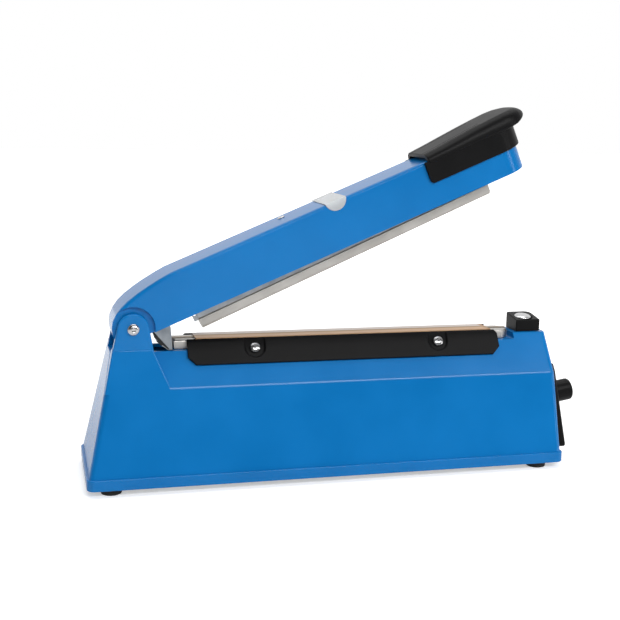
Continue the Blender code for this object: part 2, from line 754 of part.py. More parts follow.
def build_bed(parent, aluminium, nichrome, cloth_finish, brass, chrome):
    base = DECK_HEIGHT + GAP
    radius = BED_END_ROUND
    outline = arc(BED_END - radius, BED_HALF_WIDTH - radius, radius, 0, 90, 5)
    outline += [(BED_START, BED_HALF_WIDTH), (BED_START, -BED_HALF_WIDTH)]
    outline += arc(BED_END - radius, radius - BED_HALF_WIDTH, radius, 270, 360, 5)
    bed = add_object("sealing_bed", solid(prism_z(outline, base, BED_TOP)), parent, aluminium)
    for number, x in enumerate(bed_screw_places(), 1):
        depth = DECK_WALL + (BED_TOP - base) / 2
        hole = rod((x, 0, base - OVER), (0, 0, 1), SCREW_SHANK_RADIUS + GAP, OVER + (BED_TOP - base) / 2 + GAP, 16)
        cut(bed, f"bed_hole_{number}", solid(hole))
        seat = (x, 0, CAVITY_TOP - GAP)
        screw(f"bed_screw_{number}", parent, chrome, seat, (0, 0, -1), depth, False)

    low = DECK_HEIGHT - ELEMENT_TAIL
    rear_in = BED_START - GAP
    front_in = BED_END + GAP
    under = ELEMENT_TOP - ELEMENT_THICK
    ribbon = [
        (rear_in - ELEMENT_THICK, low),
        (rear_in, low),
        (rear_in, under),
        (front_in, under),
        (front_in, low),
        (front_in + ELEMENT_THICK, low),
        (front_in + ELEMENT_THICK, ELEMENT_TOP),
        (rear_in - ELEMENT_THICK, ELEMENT_TOP),
    ]
    add_object(
        "heating_element", solid(prism_y(ribbon, -ELEMENT_HALF_WIDTH, ELEMENT_HALF_WIDTH)), parent, nichrome
    )

    inner = BED_HALF_WIDTH + GAP
    outer = inner + CLOTH_THICK
    foot = DECK_HEIGHT + GAP
    wrap = [
        (-outer, foot),
        (-inner, foot),
        (-inner, CLOTH_TOP - CLOTH_THICK),
        (inner, CLOTH_TOP - CLOTH_THICK),
        (inner, foot),
        (outer, foot),
        (outer, CLOTH_TOP),
        (-outer, CLOTH_TOP),
    ]
    middle = (BED_START + BED_END) / 2
    add_object(
        "ptfe_cloth", solid(prism_x(wrap, middle - CLOTH_LENGTH / 2, middle + CLOTH_LENGTH / 2)),
        parent, cloth_finish,
    )

    top = DECK_HEIGHT - TERMINAL_DROP
    rear_block = box(
        rear_in + GAP, rear_in + GAP + TERMINAL_LENGTH, -TERMINAL_HALF_WIDTH, TERMINAL_HALF_WIDTH,
        top - TERMINAL_HEIGHT, CAVITY_TOP - GAP,
    )
    front_block = box(
        front_in - GAP - TERMINAL_LENGTH, front_in - GAP, -TERMINAL_HALF_WIDTH, TERMINAL_HALF_WIDTH,
        top - TERMINAL_HEIGHT, CAVITY_TOP - GAP,
    )
    add_object("element_terminal_rear", solid(rear_block), parent, brass)
    add_object("element_terminal_front", solid(front_block), parent, brass)


def build_strips(parent, black, chrome):
    for side, word in ((-1, "near"), (1, "far")):
        seat, out, up = strip_frame(side)
        half = STRIP_LENGTH / 2
        outline = [
            (-half, 0),
            (half, 0),
            (half, STRIP_CHAMFER - STRIP_HEIGHT),
            (half - STRIP_CHAMFER, -STRIP_HEIGHT),
            (STRIP_CHAMFER - half, -STRIP_HEIGHT),
            (-half, STRIP_CHAMFER - STRIP_HEIGHT),
        ]
        along = Vector((1, 0, 0))
        rings = [
            [seat + along * x + up * h + out * depth for x, h in outline]
            for depth in (0, STRIP_THICK)
        ]
        strip = add_object(f"clamp_strip_{word}", solid(rings), parent, black)
        for sign, end in ((-1, "rear"), (1, "front")):
            centre_x = sign * STRIP_SCREW_OFFSET
            radius = STRIP_NOTCH_RADIUS
            notch = arc(centre_x, -STRIP_SCREW_DROP, radius, 180, 360, 10)
            notch += [(centre_x + radius, OVER), (centre_x - radius, OVER)]
            depths = (STRIP_THICK - STRIP_NOTCH_DEPTH, STRIP_THICK + OVER)
            cut(strip, f"notch_{word}_{end}", solid(
                [[seat + along * x + up * h + out * depth for x, h in notch] for depth in depths]
            ))
        for name, x, y, z, direction in strip_screw_places():
            if word in name:
                point = Vector((x, y, z))
                start = point - direction * (STRIP_THICK + OVER)
                cut(strip, f"{name}_bore", solid(rod(start, direction, SCREW_HOLE_RADIUS, STRIP_THICK * 3, 12)))
                screw(name, parent, chrome, point, direction)


def build_start_switch(parent, button_body, black, chrome, steel):
    base = SHOULDER_TOP + GAP
    outline = rounded_rectangle(BLOCK_START, BLOCK_START + BLOCK_LENGTH, BLOCK_HALF_WIDTH, BLOCK_ROUND)
    top = rounded_rectangle(
        BLOCK_START + BLOCK_ROUND / 2, BLOCK_START + BLOCK_LENGTH - BLOCK_ROUND / 2,
        BLOCK_HALF_WIDTH - BLOCK_ROUND / 2, BLOCK_ROUND / 2,
    )
    rings = [
        [(x, y, base) for x, y in outline],
        [(x, y, BLOCK_TOP - BLOCK_ROUND / 2) for x, y in outline],
        [(x, y, BLOCK_TOP) for x, y in top],
    ]
    block = add_object("switch_block", solid(rings), parent, black, True)
    centre = (BLOCK_CENTRE, 0, base)
    well = [
        (BUTTON_RADIUS + GAP + GAP, BLOCK_FLOOR),
        (BUTTON_RADIUS + GAP + GAP, BLOCK_HEIGHT - BUTTON_DISH_DEPTH),
        (BUTTON_DISH_RADIUS, BLOCK_HEIGHT + GAP),
        (BUTTON_DISH_RADIUS, BLOCK_HEIGHT + OVER),
    ]
    cut(block, "button_well_cut", solid(disc_rings(centre, (0, 0, 1), well)))
    hole = rod((BLOCK_CENTRE, 0, base - OVER), (0, 0, 1), BUTTON_STEM_RADIUS + GAP, OVER + BLOCK_FLOOR + OVER)
    cut(block, "button_stem_cut", solid(hole))

    stem_low = CAVITY_TOP + BUTTON_TRAVEL - GAP
    cap_low = BUTTON_TOP - BUTTON_HEIGHT - stem_low
    cap_top = BUTTON_TOP - stem_low
    profile = [
        (BUTTON_STEM_RADIUS, 0),
        (BUTTON_STEM_RADIUS, cap_low),
        (BUTTON_RADIUS, cap_low),
        (BUTTON_RADIUS, cap_top - BUTTON_RISE),
        (BUTTON_RADIUS * RECESS_SHARE, cap_top - BUTTON_RISE * (1 - RECESS_SHARE)),
        (BUTTON_RADIUS * (1 - RECESS_SHARE), cap_top),
    ]
    rings = disc_rings((0, 0, stem_low - BUTTON_TOP), (0, 0, 1), profile)
    add_object("start_button", solid(rings), button_body, chrome, True)

    spring_low = base + BLOCK_FLOOR + GAP + BUTTON_SPRING_WIRE
    spring_high = BUTTON_TOP - BUTTON_HEIGHT - GAP - BUTTON_SPRING_WIRE
    points = helix(
        (BLOCK_CENTRE, 0, spring_low), (0, 0, 1), BUTTON_SPRING_RADIUS, spring_high - spring_low,
        BUTTON_SPRING_TURNS,
    )
    coil("button_spring", parent, steel, points, BUTTON_SPRING_WIRE)

    top_z = CAVITY_TOP - GAP
    start = BLOCK_CENTRE - MICROSWITCH_SHIFT - MICROSWITCH_LENGTH / 2
    add_object("microswitch", solid(box(
        start, start + MICROSWITCH_LENGTH, -MICROSWITCH_HALF_WIDTH, MICROSWITCH_HALF_WIDTH,
        top_z - MICROSWITCH_HEIGHT, top_z,
    )), parent, black)


def build_controls(parent, knob_body, black, brass, rubber, chrome, steel):
    """Wedge shaped end panel with the timer knob, its potentiometer and the cord inlet."""
    def panel_half(z):
        return min(lower_half(z), upper_half(z)) - PANEL_EDGE_MARGIN

    levels = (PANEL_BOTTOM, CREASE_HEIGHT, PANEL_TOP)
    rings = []
    hollow = []
    for z in levels:
        back = knob_end(z) + GAP
        face = panel_face(z)
        half = panel_half(z)
        rings.append([(back, -half, z), (face, -half, z), (face, half, z), (back, half, z)])
    panel = add_object("control_panel", solid(rings), parent, black)
    pocket_top = CREASE_HEIGHT - PANEL_ROUND * 4
    for z in (PANEL_BOTTOM + PANEL_WALL, pocket_top):
        half = panel_half(z) - PANEL_WALL
        back = knob_end(z) - OVER
        face = panel_face(z) - PANEL_WALL
        hollow.append([(back, -half, z), (face, -half, z), (face, half, z), (back, half, z)])
    cut(panel, "panel_pocket_cut", solid(hollow))

    axis = panel_axis()
    centre = panel_point(-KNOB_OFFSET, KNOB_HEIGHT, 0)
    inside = WALL * 8
    cut(panel, "panel_pot_cut", solid(
        rod(centre - axis * inside, axis, POT_BUSHING_RADIUS + GAP, inside + OVER)
    ))
    inlet = panel_point(INLET_OFFSET, INLET_HEIGHT, 0)
    cut(panel, "panel_inlet_cut", solid(rod(inlet - axis * inside, axis, INLET_RADIUS + GAP, inside + OVER)))
    for name, y in panel_screw_places():
        point = panel_point(y, PANEL_SCREW_HEIGHT, 0)
        cut(panel, f"{name}_bore", solid(rod(point - axis * inside, axis, SCREW_HOLE_RADIUS, inside + OVER, 12)))
        screw(name, parent, chrome, point + axis * GAP, axis, PANEL_SCREW_LENGTH)

    wall_depth = panel_face(KNOB_HEIGHT) - knob_end(KNOB_HEIGHT) + WALL + WALL + GAP
    body_start = -(wall_depth + POT_BODY_LENGTH)
    profile = [
        (POT_BODY_RADIUS, body_start),
        (POT_BODY_RADIUS, -wall_depth),
        (POT_BUSHING_RADIUS, -wall_depth),
        (POT_BUSHING_RADIUS, -POT_SETBACK),
    ]
    pot = add_object("potentiometer", solid(disc_rings(centre, axis, profile)), parent, brass, True)
    bore_length = wall_depth + GAP
    cut(pot, "pot_bore_cut", solid(
        rod(centre - axis * bore_length, axis, POT_SHAFT_RADIUS + GAP, bore_length)
    ))

    local = Vector((1, 0, 0))
    knob_profile = [
        (KNOB_RADIUS, GAP),
        (KNOB_RADIUS, GAP + KNOB_LENGTH - KNOB_CAP_ROUND),
        (KNOB_RADIUS - KNOB_CAP_ROUND, GAP + KNOB_LENGTH),
    ]
    knob = add_object("timer_knob", solid(disc_rings((0, 0, 0), local, knob_profile, 32)), knob_body, black, True)
    cut(knob, "knob_bore_cut", solid(
        rod((-OVER, 0, 0), local, POT_SHAFT_RADIUS + GAP, OVER + GAP + KNOB_BORE_DEPTH)
    ))
    shaft_start = -(wall_depth - GAP)
    add_object("knob_shaft", solid(
        rod((shaft_start, 0, 0), local, POT_SHAFT_RADIUS, KNOB_BORE_DEPTH - shaft_start)
    ), knob_body, steel, True)

    lip = INLET_RADIUS + INLET_LIP
    back = panel_face(INLET_HEIGHT) - knob_end(INLET_HEIGHT) + WALL
    grommet_profile = [
        (INLET_RADIUS, -back),
        (INLET_RADIUS, GAP),
        (lip, GAP),
        (lip, GAP + INLET_LIP),
        (INLET_RADIUS, GAP + INLET_LIP + INLET_LIP),
    ]
    grommet = add_object("cord_grommet", solid(disc_rings(inlet, axis, grommet_profile)), parent, rubber, True)
    cut(grommet, "grommet_bore_cut", solid(
        rod(inlet - axis * (back + OVER), axis, INLET_BORE, back + OVER + INLET_LIP * 4)
    ))


def build_electrics(parent, steel, copper, board_green, chrome):
    """Transformer on the bottom plate, and the timer board on the plate's two pillars."""
    floor = PLATE_TOP + GAP
    top = floor + CORE_HEIGHT
    x0 = CORE_CENTRE - CORE_LENGTH / 2
    x1 = CORE_CENTRE + CORE_LENGTH / 2
    core = add_object("transformer_core", solid(
        box(x0, x1, -CORE_HALF_WIDTH, CORE_HALF_WIDTH, floor, top)
    ), parent, steel)
    window_low = floor + CORE_LIMB
    window_high = window_low + CORE_WINDOW
    leg = CORE_LEG / 2
    windows = ((x0 + CORE_LIMB, CORE_CENTRE - leg), (CORE_CENTRE + leg, x1 - CORE_LIMB))
    for number, (low, high) in enumerate(windows):
        cut(core, f"core_window_{number}", solid(
            box(low, high, -CORE_HALF_WIDTH - OVER, CORE_HALF_WIDTH + OVER, window_low, window_high)
        ))
    winding = add_object("transformer_winding", solid(box(
        x0 + CORE_LIMB + GAP, x1 - CORE_LIMB - GAP, -WINDING_HALF_WIDTH, WINDING_HALF_WIDTH,
        window_low + GAP, window_high - GAP,
    )), parent, copper)
    cut(winding, "winding_bore_cut", solid(box(
        CORE_CENTRE - leg - GAP, CORE_CENTRE + leg + GAP, -CORE_HALF_WIDTH - GAP, CORE_HALF_WIDTH + GAP,
        window_low - OVER, window_high + OVER,
    )))

    inner0 = x0 - GAP
    inner1 = x1 + GAP
    outer0 = inner0 - STRAP_SHEET
    outer1 = inner1 + STRAP_SHEET
    strap = [
        (outer0 - STRAP_FOOT, floor),
        (inner0, floor),
        (inner0, top + GAP),
        (inner1, top + GAP),
        (inner1, floor),
        (outer1 + STRAP_FOOT, floor),
        (outer1 + STRAP_FOOT, floor + STRAP_SHEET),
        (outer1, floor + STRAP_SHEET),
        (outer1, top + GAP + STRAP_SHEET),
        (outer0, top + GAP + STRAP_SHEET),
        (outer0, floor + STRAP_SHEET),
        (outer0 - STRAP_FOOT, floor + STRAP_SHEET),
    ]
    bracket = add_object("transformer_strap", solid(
        prism_y(strap, -STRAP_HALF_WIDTH, STRAP_HALF_WIDTH)
    ), parent, steel)
    seat_z = floor + STRAP_SHEET + GAP
    for number, x in enumerate((outer0 - STRAP_FOOT / 2, outer1 + STRAP_FOOT / 2), 1):
        length = SCREW_HEAD_HEIGHT + STRAP_SHEET
        hole = rod((x, 0, floor - OVER), (0, 0, 1), SCREW_HOLE_RADIUS, OVER + STRAP_SHEET + OVER, 16)
        cut(bracket, f"strap_hole_{number}", solid(hole))
        screw(f"strap_screw_{number}", parent, chrome, (x, 0, seat_z), (0, 0, 1), length, False)
        plate = bpy.data.objects["bottom_plate"]
        drill = rod((x, 0, FOOT_HEIGHT - OVER), (0, 0, 1), SCREW_HOLE_RADIUS, OVER + PLATE_THICK + OVER, 16)
        cut(plate, f"plate_strap_hole_{number}", solid(drill))

    board_z = floor + BOARD_STANDOFF + GAP
    board_end = BOARD_START + BOARD_LENGTH
    board = add_object("timer_board", solid(
        box(BOARD_START, board_end, -BOARD_HALF_WIDTH, BOARD_HALF_WIDTH, board_z, board_z + BOARD_THICK)
    ), parent, board_green)
    relay = BOARD_LENGTH / 3
    join(board, "board_relay", solid(box(
        BOARD_START + relay, BOARD_START + relay + relay, -BOARD_HALF_WIDTH / 2, BOARD_HALF_WIDTH / 4,
        board_z + BOARD_THICK / 2, board_z + relay,
    )))
    capacitor = rod(
        (board_end - relay / 3, BOARD_HALF_WIDTH / 2, board_z + BOARD_THICK / 2), (0, 0, 1),
        relay / 4, relay, 16,
    )
    join(board, "board_capacitor", solid(capacitor))
    plate = bpy.data.objects["bottom_plate"]
    for number, x in enumerate((BOARD_START + STANDOFF_RADIUS * 2, board_end - STANDOFF_RADIUS * 2), 1):
        low = PLATE_TOP - PLATE_THICK / 2
        pillar = rod((x, 0, low), (0, 0, 1), STANDOFF_RADIUS, board_z - GAP - low)
        join(plate, f"board_pillar_{number}", solid(pillar))


def arm_side_outline(bottom):
    """The arm seen from the side, from its hinge axis."""
    outline = [(ARM_NOSE, bottom), (ARM_NOSE, ARM_TOP), (REAR_SLOPE_START, ARM_TOP)]
    outline.append((REAR_SLOPE_END, ARM_TOP - REAR_SLOPE_DROP))
    shoulder_x = REAR_SLOPE_END - ARM_REAR_RADIUS / 2
    outline.append((shoulder_x, ARM_TOP - REAR_SLOPE_DROP - ARM_REAR_RADIUS / 6))
    outline += arc(0, 0, ARM_REAR_RADIUS, 128, 240, 8)
    outline.append((0, bottom))
    return outline


def plan_nose(half, nose, start, radius, steps=6):
    """The arm or handle seen from above, with a round front end."""
    outline = [(start, half), (start, -half)]
    outline += arc(nose - radius, radius - half, radius, 270, 360, steps)
    outline += arc(nose - radius, half - radius, radius, 0, 90, steps)
    return outline


def build_arm_shell(parent, blue):
    """Moulded cover with a round nose and cheeks set in around the ears."""
    below = ARM_BOTTOM - ARM_EDGE_ROUND * 2
    side_view = prism_y(arm_side_outline(below), -ARM_HALF_WIDTH - OVER, ARM_HALF_WIDTH + OVER)
    arm = add_object("arm_shell", solid(side_view), parent, blue, True)
    high = ARM_TOP * 2
    plan = plan_nose(ARM_HALF_WIDTH, ARM_NOSE, -ARM_TOP, ARM_NOSE_RADIUS)
    combine(arm, "arm_plan", solid(prism_z(plan, -high, high)), "INTERSECT")
    bevel = arm.modifiers.new("round_edges", "BEVEL")
    bevel.width = ARM_EDGE_ROUND
    bevel.segments = 3
    bevel.limit_method = "ANGLE"
    bevel.angle_limit = math.radians(50)
    cut(arm, "arm_underside_cut", solid(box(
        -ARM_TOP, ARM_NOSE + OVER, -ARM_HALF_WIDTH - OVER, ARM_HALF_WIDTH + OVER, -high, ARM_BOTTOM
    )))
    for side, word in ((1, "far"), (-1, "near")):
        start = (0, side * CHEEK_HALF_WIDTH, 0)
        ring = rod(start, (0, side, 0), CHEEK_RADIUS, ARM_HALF_WIDTH, 32)
        cut(arm, f"cheek_cut_{word}", solid(ring))

    inner_half = ARM_HALF_WIDTH - ARM_WALL
    neck = CHEEK_RADIUS + ARM_WALL
    below = ARM_BOTTOM - OVER
    top = ARM_TOP - ARM_WALL
    plan = plan_nose(inner_half, ARM_NOSE - ARM_WALL, REAR_SLOPE_START, ARM_NOSE_RADIUS - ARM_WALL)
    cut(arm, "arm_cavity_cut", solid(prism_z(plan, below, top)))
    slope_share = (REAR_SLOPE_START - neck) / (REAR_SLOPE_START - REAR_SLOPE_END)
    throat = [
        (neck, below),
        (REAR_SLOPE_START + OVER, below),
        (REAR_SLOPE_START + OVER, top),
        (REAR_SLOPE_START, top),
        (neck, top - REAR_SLOPE_DROP * slope_share),
    ]
    cut(arm, "arm_throat_cut", solid(prism_y(throat, -inner_half, inner_half)))
    cheek_half = CHEEK_HALF_WIDTH - ARM_WALL
    hollow = prism_y(arm_rear_outline(), -cheek_half, cheek_half)
    cut(arm, "arm_rear_cavity_cut", solid(hollow))

    pin = rod((0, -ARM_HALF_WIDTH - OVER, 0), (0, 1, 0), PIN_RADIUS + GAP, ARM_HALF_WIDTH * 3)
    cut(arm, "arm_pin_cut", solid(pin))
    cut(arm, "lens_cut", lens_solid(GAP, ARM_HALF_WIDTH + OVER))
    for number, (x, y) in enumerate(arm_top_screws()):
        hole = rod((x, y, FRAME_TOP - OVER), (0, 0, 1), SCREW_HOLE_RADIUS, ARM_TOP, 12)
        cut(arm, f"arm_screw_hole_{number}", solid(hole))
    return arm


def arm_rear_outline():
    """Hollow of the arm around the hinge, open at the bottom."""
    below = ARM_BOTTOM - OVER
    top = ARM_TOP - ARM_WALL
    radius = ARM_REAR_RADIUS - ARM_WALL
    slope_top = top - REAR_SLOPE_DROP
    outline = [
        (CHEEK_RADIUS + ARM_WALL + OVER, below),
        (CHEEK_RADIUS + ARM_WALL + OVER, slope_top),
        (REAR_SLOPE_END, slope_top - ARM_WALL),
    ]
    outline += arc(0, 0, radius, 125, 180, 6)
    outline.append((-radius, below))
    return outline


def arm_top_screws():
    return [
        (FRAME_SCREW_AT, FRAME_SCREW_OFFSET),
        (HANDLE_SCREW_FIRST, 0),
        (HANDLE_SCREW_SECOND, 0),
    ]


def build_arm_frame(parent, steel):
    """Folded steel channel with the stop tongues, the bar's slot and the tab over the start button."""
    half = FRAME_HALF_WIDTH
    top = FRAME_TOP
    rear_radius = ARM_REAR_RADIUS - ARM_WALL - GAP - GAP
    outline = [
        (FRAME_FRONT, FRAME_BOTTOM),
        (FRAME_FRONT, top),
        (REAR_SLOPE_START, top),
        (FRAME_WEB_START, top - REAR_SLOPE_DROP),
    ]
    outline += arc(0, 0, rear_radius, 80, 205, 8)
    outline += [
        (TONGUE_REAR, FRAME_BOTTOM),
        (TONGUE_REAR, TONGUE_NECK),
        (TONGUE_TIP_REAR, TONGUE_TIP + GAP * 4),
        (TONGUE_TIP_FRONT, TONGUE_TIP),
        (TONGUE_FRONT, FRAME_BOTTOM + TONGUE_NECK / 4),
        (TONGUE_FRONT, FRAME_BOTTOM),
    ]
    frame = add_object("arm_frame", solid(prism_y(outline, -half, half)), parent, steel)
    inner = half - FRAME_SHEET
    low = TONGUE_TIP - OVER
    cut(frame, "frame_channel_cut", solid(
        box(-ARM_TOP, FRAME_FRONT + OVER, -inner, inner, low, top - FRAME_SHEET)
    ))
    cut(frame, "frame_rear_cut", solid(
        box(-ARM_TOP, FRAME_WEB_START, -inner, inner, low, top + OVER)
    ))
    striker_front = STRIKER_AT + FRAME_SHEET / 2
    striker_rear = striker_front - FRAME_SHEET
    striker = [
        (FRAME_FRONT - OVER, top - FRAME_SHEET),
        (striker_rear, top - FRAME_SHEET),
        (striker_rear, STRIKER_LOW),
        (striker_front, STRIKER_LOW),
        (striker_front, top),
        (FRAME_FRONT - OVER, top),
    ]
    join(frame, "frame_striker", solid(prism_y(striker, -STRIKER_HALF_WIDTH, STRIKER_HALF_WIDTH)))
    across = half * 3
    cut(frame, "frame_pin_cut", solid(rod((0, -across / 2, 0), (0, 1, 0), PIN_RADIUS + GAP, across)))
    slot_low = pin_height() - BAR_PIN_RADIUS - GAP
    slot_high = pin_height() + BAR_TRAVEL + BAR_PIN_RADIUS + GAP
    wide = BAR_PIN_RADIUS + GAP
    cut(frame, "frame_slot_cut", solid(
        box(BAR_CENTRE - wide, BAR_CENTRE + wide, -across, across, slot_low, slot_high)
    ))
    lamp = LAMP_RADIUS + GAP
    cut(frame, "frame_lamp_cut", solid(
        rod((LENS_CENTRE, 0, top - FRAME_SHEET - OVER), (0, 0, 1), lamp, FRAME_SHEET + OVER + OVER)
    ))
    for number, (x, y) in enumerate(arm_top_screws()):
        hole = rod((x, y, top - FRAME_SHEET - OVER), (0, 0, 1), SCREW_HOLE_RADIUS, OVER + OVER + FRAME_SHEET, 12)
        cut(frame, f"frame_screw_hole_{number}", solid(hole))
    return frame


def pin_height():
    """Height of the bar's cross pin from the hinge axis, in the arm, with the bar extended."""
    return BAR_PIN_ABOVE_FACE - BAR_DROP


def build_arm_fittings(parent, nylon, chrome, steel, lamp_glow):
    cheek_inner = CHEEK_HALF_WIDTH - ARM_WALL
    for side, word in ((-1, "near"), (1, "far")):
        start = (0, side * (FRAME_HALF_WIDTH + GAP), 0)
        length = cheek_inner - FRAME_HALF_WIDTH - GAP - GAP
        bush = add_object(f"hinge_bush_{word}", solid(
            rod(start, (0, side, 0), BUSH_RADIUS, length)
        ), parent, nylon, True)
        cut(bush, f"bush_bore_{word}", solid(
            rod((0, 0, 0), (0, side, 0), PIN_RADIUS + GAP, ARM_HALF_WIDTH)
        ))
    seat = (FRAME_SCREW_AT, FRAME_SCREW_OFFSET, ARM_TOP + GAP)
    screw("frame_screw", parent, steel, seat, (0, 0, 1), ARM_TOP - FRAME_TOP + FRAME_SHEET + GAP)
    for number, x in enumerate((HANDLE_SCREW_FIRST, HANDLE_SCREW_SECOND), 1):
        seat_z = FRAME_TOP - FRAME_SHEET - GAP
        seat = (x, 0, seat_z)
        screw(f"handle_screw_{number}", parent, chrome, seat, (0, 0, -1), HANDLE_SCREW_REACH - seat_z, False)
    top = ARM_TOP - LENS_WALL - GAP
    profile = [
        (LAMP_RADIUS, LAMP_BOTTOM),
        (LAMP_RADIUS, top - LAMP_RADIUS / 2),
        (LAMP_RADIUS / 2, top),
    ]
    add_object("indicator_lamp", solid(
        disc_rings((LENS_CENTRE, 0, 0), (0, 0, 1), profile)
    ), parent, lamp_glow, True)


def lens_solid(margin, half):
    """The lens seen from the side: a tab with a round lower end, carried through to both sides."""
    radius = LENS_HALF_LENGTH + margin
    centre_z = LENS_BOTTOM + LENS_HALF_LENGTH
    outline = arc(LENS_CENTRE, centre_z, radius, 180, 360, 10)
    high = ARM_TOP + (LENS_PROUD if margin == 0 else ARM_TOP)
    outline += [(LENS_CENTRE + radius, high), (LENS_CENTRE - radius, high)]
    return solid(prism_y(outline, -half, half))


def build_lens(parent, clear):
    lens = add_object("indicator_lens", lens_solid(0.0, ARM_HALF_WIDTH + LENS_PROUD / 2), parent, clear)
    inner = ARM_HALF_WIDTH - LENS_WALL
    under = ARM_TOP - LENS_WALL
    reach = LENS_HALF_LENGTH * 2
    cut(lens, "lens_hollow_cut", solid(
        box(LENS_CENTRE - reach, LENS_CENTRE + reach, -inner, inner, -ARM_TOP, under)
    ))
    return lens


def build_handle(parent, black):
    """Grip that caps the arm's front end, with a thumb plate running past the nose."""
    outer = ARM_HALF_WIDTH + GAP + HANDLE_WALL
    nose = ARM_NOSE + GAP + HANDLE_WALL
    plate_half = outer + HANDLE_PLATE_LIP
    side_view = [
        (HANDLE_START, HANDLE_PLATE_UNDER),
        (HANDLE_TIP - HANDLE_EDGE_ROUND * 2, HANDLE_PLATE_UNDER),
        (HANDLE_TIP - HANDLE_EDGE_ROUND / 2, HANDLE_TIP_TOP - HANDLE_EDGE_ROUND),
        (HANDLE_TIP, HANDLE_TIP_TOP),
        (HANDLE_TIP - HANDLE_EDGE_ROUND, HANDLE_TIP_TOP + HANDLE_EDGE_ROUND * 2),
        ((HANDLE_TIP + HANDLE_CREST_AT) / 2, HANDLE_CREST - HANDLE_EDGE_ROUND / 3),
        (HANDLE_CREST_AT, HANDLE_CREST),
        ((HANDLE_START + HANDLE_CREST_AT) / 2, HANDLE_MID_TOP - HANDLE_EDGE_ROUND / 4),
        (HANDLE_START, HANDLE_REAR_TOP),
    ]
    handle = add_object("handle", solid(prism_y(side_view, -outer * 2, outer * 2)), parent, black, True)
    plan = plan_nose(plate_half, HANDLE_TIP, HANDLE_START - OVER, outer - GAP, 8)
    combine(handle, "handle_plan", solid(prism_z(plan, -HANDLE_TIP, HANDLE_TIP)), "INTERSECT")
    bevel = handle.modifiers.new("soft_edges", "BEVEL")
    bevel.width = HANDLE_EDGE_ROUND / 2
    bevel.segments = 2
    bevel.limit_method = "ANGLE"
    bevel.angle_limit = math.radians(50)
    skirt = plan_nose(outer, nose, HANDLE_START, ARM_NOSE_RADIUS + GAP + HANDLE_WALL)
    join(handle, "handle_skirt", solid(prism_z(skirt, HANDLE_SKIRT, HANDLE_PLATE_UNDER + OVER)))
    pocket_half = ARM_HALF_WIDTH + GAP
    start = HANDLE_START - OVER
    pocket = plan_nose(pocket_half, ARM_NOSE + GAP, start, ARM_NOSE_RADIUS + GAP)
    cut(handle, "handle_pocket_cut", solid(prism_z(pocket, ARM_BOTTOM, ARM_TOP + GAP)))
    for number, x in enumerate((HANDLE_SCREW_FIRST, HANDLE_SCREW_SECOND), 1):
        hole = rod((x, 0, ARM_TOP), (0, 0, 1), SCREW_SHANK_RADIUS + GAP, HANDLE_SCREW_REACH + GAP - ARM_TOP, 16)
        cut(handle, f"handle_screw_hole_{number}", solid(hole))
    return handle


def build_bar(bar_body, slide_body, spring_parent, aluminium, steel, silicone):
    """Pressing bar with its channel and silicone face, seen from its cross pin."""
    half = BAR_LENGTH / 2
    face = -BAR_PIN_ABOVE_FACE
    add_object("silicone_strip", solid(box(
        -half + GAP, half - GAP, -SILICONE_HALF_WIDTH, SILICONE_HALF_WIDTH, face, face + SILICONE_HEIGHT
    )), bar_body, silicone)
    body_low = face + SILICONE_HEIGHT + GAP
    body_high = body_low + BAR_BODY_HEIGHT
    rib_high = body_high + BAR_RIB_HEIGHT
    section = [
        (-BAR_HALF_WIDTH, body_low),
        (BAR_HALF_WIDTH, body_low),
        (BAR_HALF_WIDTH, body_high),
        (BAR_RIB_HALF_WIDTH, body_high),
        (BAR_RIB_HALF_WIDTH, rib_high),
        (-BAR_RIB_HALF_WIDTH, rib_high),
        (-BAR_RIB_HALF_WIDTH, body_high),
        (-BAR_HALF_WIDTH, body_high),
    ]
    add_object("pressing_bar", solid(prism_x(section, -half, half)), bar_body, aluminium)

    low = body_high + BAR_GROOVE
    high = CHANNEL_ABOVE_PIN
    wide = CHANNEL_HALF_WIDTH
    inside = wide - CHANNEL_SHEET
    section = [
        (-wide, low),
        (-inside, low),
        (-inside, high - CHANNEL_SHEET),
        (inside, high - CHANNEL_SHEET),
        (inside, low),
        (wide, low),
        (wide, high),
        (-wide, high),
    ]
    channel = add_object("bar_channel", solid(prism_x(section, -half, half)), bar_body, steel)
    across = FRAME_HALF_WIDTH
    cut(channel, "channel_pin_cut", solid(
        rod((0, -across, 0), (0, 1, 0), BAR_PIN_RADIUS + GAP, across * 2)
    ))
    add_object("bar_pin", solid(
        rod((0, -across, 0), (0, 1, 0), BAR_PIN_RADIUS, across * 2)
    ), slide_body, steel, True)

    ceiling = FRAME_TOP - FRAME_SHEET - GAP - BAR_SPRING_WIRE
    for sign, word in ((-1, "rear"), (1, "front")):
        x = sign * BAR_SPRING_OFFSET
        seat = pin_height() + high + x * math.sin(BAR_ROCK) + GAP + BAR_SPRING_WIRE
        points = helix(
            (BAR_CENTRE + x, 0, seat), (0, 0, 1), BAR_SPRING_RADIUS, ceiling - seat, BAR_SPRING_TURNS
        )
        coil(f"bar_spring_{word}", spring_parent, steel, points, BAR_SPRING_WIRE)


def build_torsion_spring(parent, steel):
    """Coil around the hinge pin, with one leg along the arm and one on the deck."""
    points = []
    steps = 12
    count = TORSION_TURNS * steps + steps // 2
    for step in range(count + 1):
        angle = 2 * math.pi * step / steps
        along = -TORSION_HALF_SPAN + 2 * TORSION_HALF_SPAN * step / count
        points.append((TORSION_RADIUS * math.sin(angle), along, TORSION_RADIUS * math.cos(angle)))
    points.insert(0, (TORSION_ARM_LEG, -TORSION_HALF_SPAN, TORSION_RADIUS))
    points.append((-TORSION_BASE_LEG, TORSION_HALF_SPAN, -TORSION_RADIUS))
    coil("torsion_spring", parent, steel, points, TORSION_WIRE)


